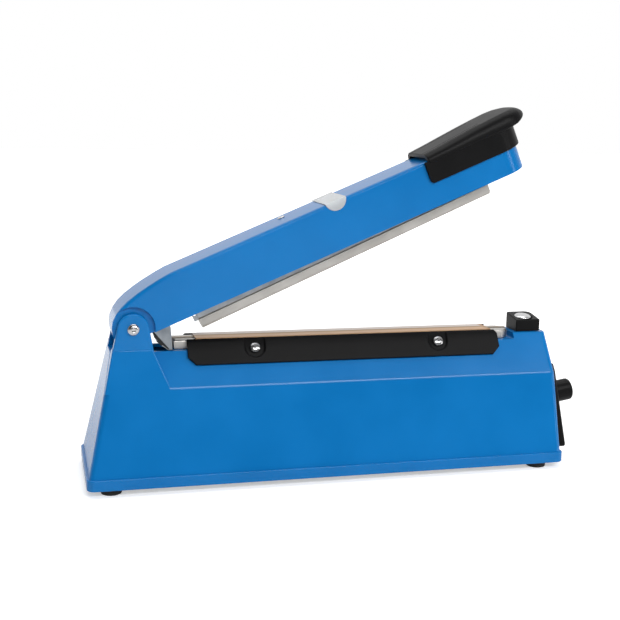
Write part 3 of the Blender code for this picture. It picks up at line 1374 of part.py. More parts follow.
def main():
    clear_scene()
    blue = material("blue_abs", (0.012, 0.160, 0.460), 0.25)
    black = material("black_abs", (0.012, 0.012, 0.013), 0.40)
    rubber = material("black_rubber", (0.010, 0.010, 0.010), 0.75)
    chrome = material("chrome_plate", (0.78, 0.78, 0.80), 0.15, 1.0)
    steel = material("zinc_steel", (0.52, 0.54, 0.57), 0.38, 1.0)
    aluminium = material("aluminium", (0.78, 0.78, 0.77), 0.32, 1.0)
    nichrome = material("nichrome", (0.42, 0.37, 0.33), 0.40, 1.0)
    cloth = material("ptfe_glass_cloth", (0.52, 0.33, 0.20), 0.55)
    brass = material("brass", (0.70, 0.52, 0.24), 0.35, 1.0)
    silicone = material("grey_silicone", (0.45, 0.43, 0.40), 0.60)
    clear = material("clear_lens", (0.85, 0.88, 0.90), 0.08)
    lamp = material("lamp_glass", (0.70, 0.12, 0.06), 0.20)
    nylon = material("white_nylon", (0.75, 0.75, 0.72), 0.45)
    copper = material("copper_winding", (0.48, 0.20, 0.09), 0.40)
    board = material("board_laminate", (0.03, 0.20, 0.08), 0.45)

    root = empty("sealer", None, (-OVERALL_LENGTH / 2, 0, 0))
    arm = empty("arm_pivot", root, (HINGE_X, 0, HINGE_Z), (0, -REST_ANGLE, 0))
    slide = empty("bar_slide_axis", arm, (BAR_CENTRE, 0, pin_height()))
    bar = empty("bar_pivot", slide, (0, 0, 0), (0, -BAR_ROCK, 0))
    knob_seat = panel_point(-KNOB_OFFSET, KNOB_HEIGHT, 0)
    knob = empty("knob_axis", root, knob_seat, (0, -PANEL_TILT, 0))
    button = empty("button_axis", root, (BLOCK_CENTRE, 0, BUTTON_TOP))

    build_base_housing(root, blue)
    build_underside(root, steel, rubber, chrome)
    build_hinge_pin(root, chrome)
    build_bed(root, aluminium, nichrome, cloth, brass, chrome)
    build_strips(root, black, chrome)
    build_start_switch(root, button, black, chrome, steel)
    build_controls(root, knob, black, brass, rubber, chrome, steel)
    build_electrics(root, steel, copper, board, chrome)
    build_arm_shell(arm, blue)
    build_arm_frame(arm, steel)
    build_arm_fittings(arm, nylon, chrome, steel, lamp)
    build_lens(arm, clear)
    build_handle(arm, black)
    build_bar(bar, slide, arm, aluminium, steel, silicone)
    build_torsion_spring(arm, steel)


main()
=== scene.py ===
"""Impulse bag sealer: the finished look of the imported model, laid out as an add-on.

Lengths are metres. Base pieces are drawn from the hinge end of the flange, and arm pieces from the
hinge axis with the arm level. Both are then put in the frame's place, so every object stays at the origin.
"""

import json
import math

import bmesh
import bpy
from mathutils import Matrix, Vector


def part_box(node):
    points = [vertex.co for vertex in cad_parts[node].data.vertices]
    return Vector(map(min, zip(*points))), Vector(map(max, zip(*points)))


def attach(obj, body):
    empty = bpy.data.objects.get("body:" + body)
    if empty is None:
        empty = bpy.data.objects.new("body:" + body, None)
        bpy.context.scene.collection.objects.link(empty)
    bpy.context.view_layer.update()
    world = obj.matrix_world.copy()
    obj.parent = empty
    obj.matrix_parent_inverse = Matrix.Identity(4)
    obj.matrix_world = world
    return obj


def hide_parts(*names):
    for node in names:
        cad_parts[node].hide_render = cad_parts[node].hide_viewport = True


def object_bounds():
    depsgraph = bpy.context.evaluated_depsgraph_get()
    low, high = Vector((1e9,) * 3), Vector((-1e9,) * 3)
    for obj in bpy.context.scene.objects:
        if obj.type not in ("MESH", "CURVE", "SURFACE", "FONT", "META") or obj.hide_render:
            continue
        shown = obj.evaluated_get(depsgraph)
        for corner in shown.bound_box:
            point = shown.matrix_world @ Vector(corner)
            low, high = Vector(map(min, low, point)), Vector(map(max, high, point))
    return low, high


bl_info = {
    "name": "Impulse sealer dressing",
    "version": (1, 0, 0),
    "blender": (4, 5, 0),
    "location": "View3D > Sidebar > Sealer",
    "description": "Builds the visible pieces and finishes of a hand impulse sealer",
    "category": "Object",
}

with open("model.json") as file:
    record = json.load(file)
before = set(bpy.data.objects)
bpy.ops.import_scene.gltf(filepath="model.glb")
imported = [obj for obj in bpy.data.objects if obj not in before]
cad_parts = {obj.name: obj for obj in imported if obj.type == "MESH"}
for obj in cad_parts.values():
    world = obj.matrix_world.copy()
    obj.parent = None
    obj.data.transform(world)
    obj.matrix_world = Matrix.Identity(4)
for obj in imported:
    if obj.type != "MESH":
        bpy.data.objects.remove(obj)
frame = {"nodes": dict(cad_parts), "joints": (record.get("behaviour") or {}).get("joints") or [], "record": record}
CAD_LOW, CAD_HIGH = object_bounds()
HALF_LENGTH = CAD_HIGH.x
HINGE = next(joint for joint in frame["joints"] if joint["name"] == "arm_hinge")
REST_ANGLE = math.radians(HINGE["range_deg"][1])
BASE_PLACE = Matrix.Translation((-HALF_LENGTH, 0, 0))
ARM_PLACE = Matrix.Translation(Vector(HINGE["pos_m"])) @ Matrix.Rotation(-REST_ANGLE, 4, "Y")
MM = 0.001


# Helpers for shapes

def points(*pairs):
    """Outline points given in millimetres."""
    return [(a * MM, b * MM) for a, b in pairs]


def face_on(bm, outline, plane, level):
    """One flat face from a short outline. plane names the two axes that the outline lies in."""
    first, second = ("xyz".index(letter) for letter in plane)
    third = 3 - first - second
    verts = []
    for a, b in outline:
        place = [0.0, 0.0, 0.0]
        place[first] = a
        place[second] = b
        place[third] = level
        verts.append(bm.verts.new(place))
    return bmesh.ops.contextual_create(bm, geom=verts)["faces"][0]


def pull(bm, face, offset):
    """Extrudes a face and returns the new end face."""
    grown = bmesh.ops.extrude_face_region(bm, geom=[face])["geom"]
    moved = [item for item in grown if isinstance(item, bmesh.types.BMVert)]
    bmesh.ops.translate(bm, vec=offset, verts=moved)
    return next(item for item in grown if isinstance(item, bmesh.types.BMFace))


def slab(outline, plane, low, high):
    """A flat outline pulled from one level to another."""
    bm = bmesh.new()
    face = face_on(bm, outline, plane, low)
    offset = [0.0, 0.0, 0.0]
    offset[3 - "xyz".index(plane[0]) - "xyz".index(plane[1])] = high - low
    pull(bm, face, offset)
    bmesh.ops.recalc_face_normals(bm, faces=bm.faces)
    return bm


def block(x0, x1, y0, y1, z0, z1):
    bm = bmesh.new()
    bmesh.ops.create_cube(bm, size=1.0)
    bmesh.ops.scale(bm, vec=(x1 - x0, y1 - y0, z1 - z0), verts=bm.verts)
    bmesh.ops.translate(bm, vec=((x0 + x1) / 2, (y0 + y1) / 2, (z0 + z1) / 2), verts=bm.verts)
    return bm


def tower(levels):
    """Stacked rectangles: each level gives its height, its two ends and its half width."""
    bm = bmesh.new()
    z, x0, x1, half = levels[0]
    face = face_on(bm, [(x0, -half), (x1, -half), (x1, half), (x0, half)], "xy", z)
    for number, (z1, a, b, wide) in enumerate(levels[1:]):
        inner = face
        face = pull(bm, face, (0, 0, z1 - z))
        if number:
            bmesh.ops.delete(bm, geom=[inner], context="FACES_ONLY")
        centre = Vector(((x0 + x1) / 2, 0, z1))
        factor = ((b - a) / (x1 - x0), wide / half, 1)
        bmesh.ops.scale(bm, vec=factor, verts=face.verts, space=Matrix.Translation(-centre))
        bmesh.ops.translate(bm, vec=((a + b) / 2 - centre.x, 0, 0), verts=face.verts)
        z, x0, x1, half = z1, a, b, wide
    bmesh.ops.recalc_face_normals(bm, faces=bm.faces)
    return bm


def turned(profile, segments=48):
    """A lathe shape about Z. The profile lists radius and height, from one end to the other."""
    bm = bmesh.new()
    row = [bm.verts.new((radius, 0, z)) for radius, z in profile]
    line = [bm.edges.new(pair) for pair in zip(row, row[1:])]
    bmesh.ops.spin(
        bm, geom=row + line, axis=(0, 0, 1), cent=(0, 0, 0), dvec=(0, 0, 0),
        angle=2 * math.pi, steps=segments, use_merge=True,
    )
    bmesh.ops.remove_doubles(bm, verts=bm.verts, dist=1e-6)
    open_edges = [edge for edge in bm.edges if edge.is_boundary]
    if open_edges:
        bmesh.ops.holes_fill(bm, edges=open_edges, sides=0)
    bmesh.ops.recalc_face_normals(bm, faces=bm.faces)
    return bm


def soften(bm, width, segments=3, angle=35, keep=None):
    """Rounds the edges that turn by more than an angle, or those of them that keep picks."""
    bm.normal_update()
    limit = math.radians(angle)
    edges = [
        edge for edge in bm.edges
        if len(edge.link_faces) == 2 and edge.calc_face_angle(0) > limit and (keep is None or keep(edge))
    ]
    bmesh.ops.bevel(
        bm, geom=edges, offset=width, offset_type="OFFSET", segments=segments,
        profile=0.5, affect="EDGES", clamp_overlap=True, material=-1,
    )
    return bm


def lies_along(edge, axis):
    run = (edge.verts[1].co - edge.verts[0].co).normalized()
    return abs(run["xyz".index(axis)]) > 0.8


def moved(bm, matrix):
    bmesh.ops.transform(bm, matrix=matrix, verts=bm.verts)
    return bm


def raw_object(bm, name):
    mesh = bpy.data.meshes.new(name)
    bm.to_mesh(mesh)
    bm.free()
    made = bpy.data.objects.new(name, mesh)
    bpy.context.scene.collection.objects.link(made)
    return made


def combine(target, bm, operation):
    """Applies one boolean to an object at once and drops the helper."""
    helper = raw_object(bm, "helper")
    modifier = target.modifiers.new("combine", "BOOLEAN")
    modifier.operation = operation
    modifier.object = helper
    modifier.solver = "EXACT"
    graph = bpy.context.evaluated_depsgraph_get()
    result = bpy.data.meshes.new_from_object(target.evaluated_get(graph))
    target.modifiers.clear()
    old = target.data
    target.data = result
    bpy.data.meshes.remove(old)
    helper_mesh = helper.data
    bpy.data.objects.remove(helper, do_unlink=True)
    bpy.data.meshes.remove(helper_mesh)
    return target


def finish_piece(target, body, finish, stands_for=(), place=None, smooth=30):
    """Places a piece in the frame, gives it its finish and ties it to its body and CAD nodes."""
    bm = bmesh.new()
    bm.from_mesh(target.data)
    if place:
        bmesh.ops.transform(bm, matrix=place, verts=bm.verts)
    bmesh.ops.remove_doubles(bm, verts=bm.verts, dist=1e-6)
    bmesh.ops.recalc_face_normals(bm, faces=bm.faces)
    bm.to_mesh(target.data)
    bm.free()
    target.data.materials.clear()
    target.data.materials.append(finish_named(finish))
    target.data.shade_smooth()
    target.data.set_sharp_from_angle(angle=math.radians(smooth))
    weighted = target.modifiers.new("weighted", "WEIGHTED_NORMAL")
    weighted.keep_sharp = True
    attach(target, body)
    if stands_for:
        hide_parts(*stands_for)
    return target


# Helpers for finishes

def colour(code):
    """sRGB hex to linear RGBA."""
    values = [int(code[i:i + 2], 16) / 255 for i in (1, 3, 5)]
    linear = [v / 12.92 if v <= 0.04045 else ((v + 0.055) / 1.055) ** 2.4 for v in values]
    return (*linear, 1.0)


def add(tree, kind, settings=None, **links):
    """Adds a shader node with its settings and input values or links."""
    made = tree.nodes.new(kind)
    for key, value in (settings or {}).items():
        setattr(made, key, value)
    for key, value in links.items():
        socket = made.inputs[int(key[1:])] if key[0] == "i" and key[1:].isdigit() else made.inputs[key.replace("_", " ")]
        if isinstance(value, bpy.types.NodeSocket):
            tree.links.new(value, socket)
        else:
            socket.default_value = value
    return made


def start_finish(name, base, roughness, metallic=0.0, **more):
    made = bpy.data.materials.new(name)
    made.use_nodes = True
    tree = made.node_tree
    shader = tree.nodes["Principled BSDF"]
    shader.inputs["Base Color"].default_value = base
    shader.inputs["Roughness"].default_value = roughness
    shader.inputs["Metallic"].default_value = metallic
    for key, value in more.items():
        shader.inputs[key.replace("_", " ")].default_value = value
    place = tree.nodes.new("ShaderNodeTexCoord").outputs["Object"]
    return made, tree, shader, place


def vary_colour(tree, shader, factor, low, high, start=0.3, end=0.7):
    ramp = add(tree, "ShaderNodeValToRGB", None, Fac=factor)
    ramp.color_ramp.elements[0].position = start
    ramp.color_ramp.elements[0].color = low
    ramp.color_ramp.elements[1].position = end
    ramp.color_ramp.elements[1].color = high
    tree.links.new(ramp.outputs["Color"], shader.inputs["Base Color"])
    return ramp


def vary_roughness(tree, shader, factor, low, high):
    span = add(tree, "ShaderNodeMapRange", None, Value=factor, To_Min=low, To_Max=high)
    tree.links.new(span.outputs["Result"], shader.inputs["Roughness"])


def relief(tree, shader, height, strength, depth):
    bump = add(tree, "ShaderNodeBump", None, Strength=strength, Distance=depth, Height=height)
    tree.links.new(bump.outputs["Normal"], shader.inputs["Normal"])
    return bump


def blue_abs():
    # Moulded gloss ABS: a slightly wavy skin that blurs reflections, with a faint cloudiness in the colour
    made, tree, shader, place = start_finish(
        "blue_abs", colour("#0874BA"), 0.2, IOR=1.53, Specular_IOR_Level=0.22,
    )
    cloud = add(tree, "ShaderNodeTexNoise", None, Vector=place, Scale=22.0, Detail=3.0)
    vary_colour(tree, shader, cloud.outputs["Fac"], colour("#0671B7"), colour("#0A77BF"), 0.35, 0.65)
    vary_roughness(tree, shader, cloud.outputs["Fac"], 0.16, 0.26)
    skin = add(tree, "ShaderNodeTexNoise", None, Vector=place, Scale=90.0, Detail=2.0)
    relief(tree, shader, skin.outputs["Fac"], 0.06, 0.0004)
    return made


def black_abs():
    # Satin moulded ABS: fine spark grain of about 0.4 mm that breaks up the sheen
    made, tree, shader, place = start_finish(
        "black_abs", colour("#0C0C0D"), 0.4, IOR=1.53, Specular_IOR_Level=0.12,
    )
    grain = add(tree, "ShaderNodeTexNoise", None, Vector=place, Scale=1400.0, Detail=2.0)
    cloud = add(tree, "ShaderNodeTexNoise", None, Vector=place, Scale=35.0, Detail=3.0)
    vary_colour(tree, shader, cloud.outputs["Fac"], colour("#09090A"), colour("#0F0F10"), 0.3, 0.7)
    vary_roughness(tree, shader, cloud.outputs["Fac"], 0.36, 0.5)
    relief(tree, shader, grain.outputs["Fac"], 0.12, 0.00008)
    return made


def black_rubber():
    # Moulded rubber: matt, with a dusty mottling
    made, tree, shader, place = start_finish("black_rubber", colour("#161616"), 0.75, IOR=1.52)
    dust = add(tree, "ShaderNodeTexNoise", None, Vector=place, Scale=160.0, Detail=4.0)
    vary_colour(tree, shader, dust.outputs["Fac"], colour("#121212"), colour("#222221"))
    relief(tree, shader, dust.outputs["Fac"], 0.2, 0.0001)
    return made


def chrome_plate():
    # Bright plated steel: near mirror, with faint polishing variation
    made, tree, shader, place = start_finish("chrome_plate", colour("#C9C9CA"), 0.22, 1.0)
    wear = add(tree, "ShaderNodeTexNoise", None, Vector=place, Scale=420.0, Detail=3.0)
    vary_roughness(tree, shader, wear.outputs["Fac"], 0.16, 0.32)
    return made


def zinc_steel():
    # Zinc plated sheet: blue-grey with cloudy spangle a few millimetres across
    made, tree, shader, place = start_finish("zinc_steel", colour("#B4BAC2"), 0.35, 1.0)
    spangle = add(tree, "ShaderNodeTexVoronoi", {"feature": "F1"}, Vector=place, Scale=260.0)
    cloud = add(tree, "ShaderNodeTexNoise", None, Vector=place, Scale=70.0, Detail=4.0)
    vary_colour(tree, shader, cloud.outputs["Fac"], colour("#7F878F"), colour("#AEB3B8"))
    vary_roughness(tree, shader, spangle.outputs["Distance"], 0.28, 0.48)
    return made


def aluminium():
    # Extruded aluminium: pale grey with drawing lines along its length, and a dull mottle
    made, tree, shader, place = start_finish("aluminium", colour("#D6D5D2"), 0.4, 1.0)
    stretch = add(tree, "ShaderNodeMapping", None, Vector=place, Scale=(6.0, 700.0, 700.0))
    lines = add(tree, "ShaderNodeTexNoise", None, Vector=stretch.outputs["Vector"], Scale=1.0, Detail=3.0)
    cloud = add(tree, "ShaderNodeTexNoise", None, Vector=place, Scale=55.0, Detail=4.0)
    vary_colour(tree, shader, cloud.outputs["Fac"], colour("#B9B6B1"), colour("#D2CFCB"), 0.3, 0.75)
    vary_roughness(tree, shader, lines.outputs["Fac"], 0.34, 0.52)
    relief(tree, shader, lines.outputs["Fac"], 0.08, 0.00005)
    return made


def nichrome():
    # Rolled resistance ribbon: dull brown-grey, heat tinted along its length
    made, tree, shader, place = start_finish("nichrome", colour("#8C7B66"), 0.4, 1.0)
    tint = add(tree, "ShaderNodeTexNoise", None, Vector=place, Scale=60.0, Detail=3.0)
    vary_colour(tree, shader, tint.outputs["Fac"], colour("#6E5A45"), colour("#A3937C"))
    return made


def ptfe_glass_cloth():
    # PTFE coated glass cloth: tan where it is worn, greyer behind the ribbon, browned over the ribbon and at its ends
    made, tree, shader, place = start_finish("ptfe_glass_cloth", colour("#C9A27C"), 0.42, IOR=1.38)
    across = add(tree, "ShaderNodeSeparateXYZ", None, Vector=place)
    stain = add(tree, "ShaderNodeTexNoise", None, Vector=place, Scale=40.0, Detail=4.0)
    wander = add(tree, "ShaderNodeMapRange", None, Value=stain.outputs["Fac"], To_Min=-0.0009, To_Max=0.0009)
    shifted = add(tree, "ShaderNodeMath", {"operation": "ADD"}, i0=across.outputs["Y"], i1=wander.outputs["Result"])
    share = add(tree, "ShaderNodeMapRange", None, Value=shifted.outputs["Value"], From_Min=-0.01, From_Max=0.01)
    ramp = add(tree, "ShaderNodeValToRGB", None, Fac=share.outputs["Result"])
    ramp.color_ramp.elements[0].position = 0.38
    ramp.color_ramp.elements[0].color = colour("#D3AA82")
    ramp.color_ramp.elements[1].position = 0.64
    ramp.color_ramp.elements[1].color = colour("#DACFC8")
    for position, code in ((0.46, "#A9845C"), (0.54, "#A9845C")):
        ramp.color_ramp.elements.new(position).color = colour(code)
    end = add(tree, "ShaderNodeMath", {"operation": "ABSOLUTE"}, i0=across.outputs["X"])
    reach = add(tree, "ShaderNodeMapRange", None, Value=end.outputs["Value"], From_Min=0.100, From_Max=0.1015)
    browned = add(tree, "ShaderNodeMix", {"data_type": "RGBA"}, i0=reach.outputs["Result"],
                  i6=ramp.outputs["Color"], i7=colour("#B58D63"))
    tree.links.new(browned.outputs[2], shader.inputs["Base Color"])
    weave = add(tree, "ShaderNodeTexWave", {"bands_direction": "X"}, Vector=place, Scale=320.0)
    weft = add(tree, "ShaderNodeTexWave", {"bands_direction": "Y"}, Vector=place, Scale=320.0)
    mixed = add(tree, "ShaderNodeMath", {"operation": "MULTIPLY"}, i0=weave.outputs["Fac"], i1=weft.outputs["Fac"])
    relief(tree, shader, mixed.outputs["Value"], 0.2, 0.00005)
    return made


def brass():
    # Machined brass, lightly tarnished
    made, tree, shader, place = start_finish("brass", colour("#C8A765"), 0.32, 1.0)
    tarnish = add(tree, "ShaderNodeTexNoise", None, Vector=place, Scale=120.0, Detail=4.0)
    vary_colour(tree, shader, tarnish.outputs["Fac"], colour("#A98848"), colour("#D9BC7C"))
    return made


def grey_silicone():
    # Smooth cast silicone rubber with a faint bloom
    made, tree, shader, place = start_finish("grey_silicone", colour("#B4B0A8"), 0.55, IOR=1.41)
    bloom = add(tree, "ShaderNodeTexNoise", None, Vector=place, Scale=90.0, Detail=3.0)
    vary_colour(tree, shader, bloom.outputs["Fac"], colour("#A9A59C"), colour("#BFBCB5"))
    return made


def clear_lens():
    # Clear moulded polycarbonate, a little frosted inside so that the lamp glows through
    made, tree, shader, place = start_finish(
        "clear_lens", colour("#EEF2F5"), 0.12, IOR=1.58, Transmission_Weight=0.55,
    )
    frost = add(tree, "ShaderNodeTexNoise", None, Vector=place, Scale=240.0, Detail=3.0)
    vary_roughness(tree, shader, frost.outputs["Fac"], 0.08, 0.25)
    relief(tree, shader, frost.outputs["Fac"], 0.1, 0.0002)
    return made


def lamp_glass():
    # Neon lamp in a clear red cap
    made, tree, shader, place = start_finish("lamp_glass", colour("#B04A3A"), 0.15, IOR=1.5)
    swirl = add(tree, "ShaderNodeTexNoise", None, Vector=place, Scale=300.0, Detail=2.0)
    vary_colour(tree, shader, swirl.outputs["Fac"], colour("#9C3A2C"), colour("#C46A55"))
    return made


def white_nylon():
    # Turned nylon: milky, with faint turning marks
    made, tree, shader, place = start_finish("white_nylon", colour("#DEDED8"), 0.45, IOR=1.53)
    marks = add(tree, "ShaderNodeTexNoise", None, Vector=place, Scale=200.0, Detail=3.0)
    vary_roughness(tree, shader, marks.outputs["Fac"], 0.4, 0.55)
    return made


def copper_winding():
    # Enamelled wire laid side by side, 0.6 mm pitch drawn at 1.5 mm to show
    made, tree, shader, place = start_finish("copper_winding", colour("#A55B30"), 0.35, IOR=1.5)
    wire = add(tree, "ShaderNodeTexWave", {"bands_direction": "Z"}, Vector=place, Scale=210.0)
    vary_colour(tree, shader, wire.outputs["Fac"], colour("#7E3F1D"), colour("#C0733F"), 0.1, 0.9)
    relief(tree, shader, wire.outputs["Fac"], 0.5, 0.0003)
    return made


def board_laminate():
    # Solder mask over laminate: green with slightly lighter tracks
    made, tree, shader, place = start_finish("board_laminate", colour("#1F6B3A"), 0.35, IOR=1.55)
    tracks = add(tree, "ShaderNodeTexBrick", None, Vector=place, Scale=120.0)
    vary_colour(tree, shader, tracks.outputs["Fac"], colour("#1A5E33"), colour("#2C8350"))
    return made


FINISHES = (
    blue_abs, black_abs, black_rubber, chrome_plate, zinc_steel, aluminium, nichrome, ptfe_glass_cloth,
    brass, grey_silicone, clear_lens, lamp_glass, white_nylon, copper_winding, board_laminate,
)


def finish_named(name):
    """The finish of that slot, made when it is first asked for."""
    found = bpy.data.materials.get(f"{name}_finish")
    if found:
        return found
    maker = next(item for item in FINISHES if item.__name__ == name)
    made = maker()
    made.name = f"{name}_finish"
    return made


# Sizes of the base, in metres from the hinge end of the flange

LOWER_SLOPE = (38.6 - 25.6) / 51.0
UPPER_SLOPE = (25.6 - 12.8) / 20.8


def hinge_end(z):
    return 1.4 + 0.212 * (z - 11)


def knob_end(z):
    return 308.7 + 0.018 * (62 - z) if z <= 62 else 308.7 - 0.055 * (z - 62)


def wall_half(z):
    if z <= 62:
        return 25.6 + LOWER_SLOPE * (62 - z)
    return 25.6 - UPPER_SLOPE * (z - 62)


def panel_face(z):
    return 309.69 + 8.65 * (66.5 - z) / 54.0


def panel_skin(z):
    return 310.6 + 4.9 * (66.5 - z) / 54.0


def wall_level(z, inset=0.0):
    return (z * MM, (hinge_end(z) + inset) * MM, (knob_end(z) - inset) * MM, (wall_half(z) - inset) * MM)


def is_corner(edge):
    """A wall corner runs up, and its two ends lie well off the middle."""
    return lies_along(edge, "z") or abs(edge.verts[0].co.z - edge.verts[1].co.z) > 0.003


class SEALER_OT_housing(bpy.types.Operator):
    """Base housing: flange, sloping walls, deck, shoulder, pads and ears"""

    bl_idname = "sealer.housing"
    bl_label = "Build base housing"

    def execute(self, context):
        sizes = context.scene.sealer_sizes
        flange = block(0, 311 * MM, -40 * MM, 40 * MM, 4 * MM, 11 * MM)
        soften(flange, 5 * MM, 8, keep=lambda edge: lies_along(edge, "z"))
        soften(flange, sizes.edge_round * 0.8, 3, 60)
        shell = raw_object(flange, "base_shell")

        walls = tower([wall_level(10.5), wall_level(62), wall_level(86.8)])
        soften(walls, 3.8 * MM, 7, keep=is_corner)
        soften(walls, sizes.edge_round, 4, 14, keep=lambda edge: edge.verts[0].co.z > 0.02 and not is_corner(edge))
        combine(shell, walls, "UNION")
        notch = block(-5 * MM, 283.3 * MM, -50 * MM, 50 * MM, 82.8 * MM, 120 * MM)
        soften(notch, 1.2 * MM, 4, keep=lambda edge: lies_along(edge, "y") and edge.verts[0].co.x > 0.2)
        combine(shell, notch, "DIFFERENCE")

        for side in (-1, 1):
            pad_half = [side * (wall_half(60) + 0.03), side * (25.6 + LOWER_SLOPE * (62 - 85.7) + 0.03)]
            outline = points((hinge_end(60) + 0.3, 60), (53.0, 60), (42.0, 85.7), (hinge_end(85.7) + 0.3, 85.7))
            pad = slab(outline, "xz", side * 11.9 * MM, side * 30 * MM)
            for vert in pad.verts:
                if abs(vert.co.y) > 0.02:
                    vert.co.y = pad_half[0 if vert.co.z < 0.07 else 1] * MM
            soften(pad, sizes.edge_round, 4, keep=lambda edge: all(
                abs(vert.co.y) > 0.0185 for vert in edge.verts
            ) and max(vert.co.z for vert in edge.verts) > 0.07)
            combine(shell, pad, "UNION")
            outline = [(30.3 + 9.6 * math.cos(math.radians(a)), 98.2 + 9.6 * math.sin(math.radians(a)))
                       for a in range(8, 173, 6)]
            outline = points(*outline, (17.6, 84.6), (42.6, 84.6))
            ear = slab(outline, "xz", side * 15.3 * MM, side * 19.5 * MM)
            soften(ear, sizes.edge_round, 4, 50, keep=lambda edge: all(abs(v.co.y) > 0.019 for v in edge.verts)
                   and max(v.co.z for v in edge.verts) > 0.086)
            combine(shell, ear, "UNION")

        cavity = tower([
            (3 * MM, 3 * MM, 307 * MM, 37 * MM), (5.5 * MM, 3 * MM, 307 * MM, 37 * MM),
            wall_level(5.6, 6.0), wall_level(62, 2.5), wall_level(80.4, 2.5),
        ])
        combine(shell, cavity, "DIFFERENCE")
        opening = block(20.7 * MM, 55.9 * MM, -10.8 * MM, 10.8 * MM, 70 * MM, 92 * MM)
        soften(opening, 1.0 * MM, 3, keep=lambda edge: lies_along(edge, "z"))
        combine(shell, opening, "DIFFERENCE")
        for x in (15, 295):
            for y in (-30.5, 30.5):
                post = turned([(4.6 * MM, 5.5 * MM), (4.6 * MM, 22 * MM), (1.9 * MM, 22 * MM), (1.9 * MM, 5.5 * MM),
                               (4.6 * MM, 5.5 * MM)], 24)
                combine(shell, moved(post, Matrix.Translation((x * MM, y * MM, 0))), "UNION")
        finish_piece(shell, "base", "blue_abs", ["base_housing"], BASE_PLACE)
        return {"FINISHED"}


class SEALER_OT_arm_cover(bpy.types.Operator):
    """Arm cover with its round nose and the cheeks set in around the ears"""

    bl_idname = "sealer.arm_cover"
    bl_label = "Build arm cover"

    def execute(self, context):
        sizes = context.scene.sealer_sizes
        back = [(34.0, 22.3), (27.0, 21.5), (19.0, 20.3), (11.0, 18.7), (4.0, 16.8), (-1.5, 14.6), (-6.0, 11.8),
                (-9.4, 8.6), (-11.6, 5.0), (-12.8, 1.0), (-12.9, -3.0), (-12.0, -7.4)]
        outline = points((275.0, -7.4), (275.0, 22.3), *back)
        solid = slab(outline, "xz", -17.3 * MM, 17.3 * MM)
        soften(solid, 16 * MM, 12, 60, keep=lambda edge: lies_along(edge, "z") and edge.verts[0].co.x > 0.27)
        soften(solid, sizes.arm_round, 5, 50, keep=lambda edge: max(v.co.z for v in edge.verts) > -0.0070)
        cover = raw_object(solid, "arm_cover")
        for side in (-1, 1):
            disc = turned([(13.6 * MM, 0), (13.6 * MM, 6 * MM)], 72)
            bmesh.ops.bevel(
                disc, geom=[edge for edge in disc.edges if all(v.co.z < 0.001 for v in edge.verts)],
                offset=0.5 * MM, offset_type="OFFSET", segments=3, profile=0.5, affect="EDGES",
                clamp_overlap=True, material=-1,
            )
            turn = Matrix.Translation((0, side * 14.8 * MM, 0)) @ Matrix.Rotation(-side * math.pi / 2, 4, "X")
            combine(cover, moved(disc, turn), "DIFFERENCE")
        hollow = slab(points((273.7, -20), (273.7, 21.0), (34, 21.0), (16.5, 18.4), (16.5, -20)), "xz",
                      -16.0 * MM, 16.0 * MM)
        soften(hollow, 14.7 * MM, 12, 60, keep=lambda edge: lies_along(edge, "z") and edge.verts[0].co.x > 0.27)
        combine(cover, hollow, "DIFFERENCE")
        rear = points((16.6, -20), (16.6, 17.4), (6, 16.0), (0, 13.6), (-5, 10.4), (-8.6, 7.0), (-10.6, 3.0),
                      (-11.5, -1), (-11.0, -20))
        combine(cover, slab(rear, "xz", -13.5 * MM, 13.5 * MM), "DIFFERENCE")
        combine(cover, lens_shape(0.25, 19.0), "DIFFERENCE")
        pin = turned([(2.7 * MM, -22 * MM), (2.7 * MM, 22 * MM)], 32)
        combine(cover, moved(pin, Matrix.Rotation(math.pi / 2, 4, "X")), "DIFFERENCE")
        finish_piece(cover, "arm", "blue_abs", ["arm_shell"], ARM_PLACE)
        return {"FINISHED"}


def lens_shape(margin, half, top=22.8):
    """The lens from the side: a tab with a round lower end."""
    radius = 7.0 + margin
    outline = [(146.0 + radius * math.cos(math.radians(a)), 23.4 + radius * math.sin(math.radians(a)))
               for a in range(180, 361, 10)]
    outline += [(146.0 + radius, top if margin == 0 else 30.0), (146.0 - radius, top if margin == 0 else 30.0)]
    outline = [pair for pair in outline if pair[1] <= 30.0]
    return slab(points(*outline), "xz", -half * MM, half * MM)


class SEALER_OT_lens(bpy.types.Operator):
    """Clear lens that wraps over the arm's top edge"""

    bl_idname = "sealer.lens"
    bl_label = "Build lens"

    def execute(self, context):
        tab = slab(points(*[(146.0 + 7.0 * math.cos(math.radians(a)), 23.4 + 7.0 * math.sin(math.radians(a)))
                            for a in range(188, 353, 8)], (153.0, 22.8), (139.0, 22.8)), "xz", -17.55 * MM, 17.55 * MM)
        soften(tab, 2.4 * MM, 5, 60, keep=lambda edge: lies_along(edge, "x") and edge.verts[0].co.z > 0.0225)
        lens = raw_object(tab, "lens")
        combine(lens, block(130 * MM, 160 * MM, -15.7 * MM, 15.7 * MM, 0, 20.7 * MM), "DIFFERENCE")
        finish_piece(lens, "arm", "clear_lens", ["indicator_lens"], ARM_PLACE)
        return {"FINISHED"}


GRIP_TOP = ((200, 25.9), (210.5, 26.4), (222, 27.3), (235, 28.5), (246, 29.5), (257.7, 30.4), (267, 30.9),
            (274, 31.0), (279.5, 30.6), (283.7, 29.6), (286.4, 28.3))
GRIP_UNDER = ((200, 20.8), (268, 20.8), (276, 21.4), (282, 22.9), (286.4, 24.5))
GRIP_BLANK = 8.0


def along(curve, x):
    """Height of a side line at a distance, in millimetres."""
    for (x0, z0), (x1, z1) in zip(curve, curve[1:]):
        if x <= x1:
            return z0 + (z1 - z0) * max(x - x0, 0) / (x1 - x0)
    return curve[-1][1]


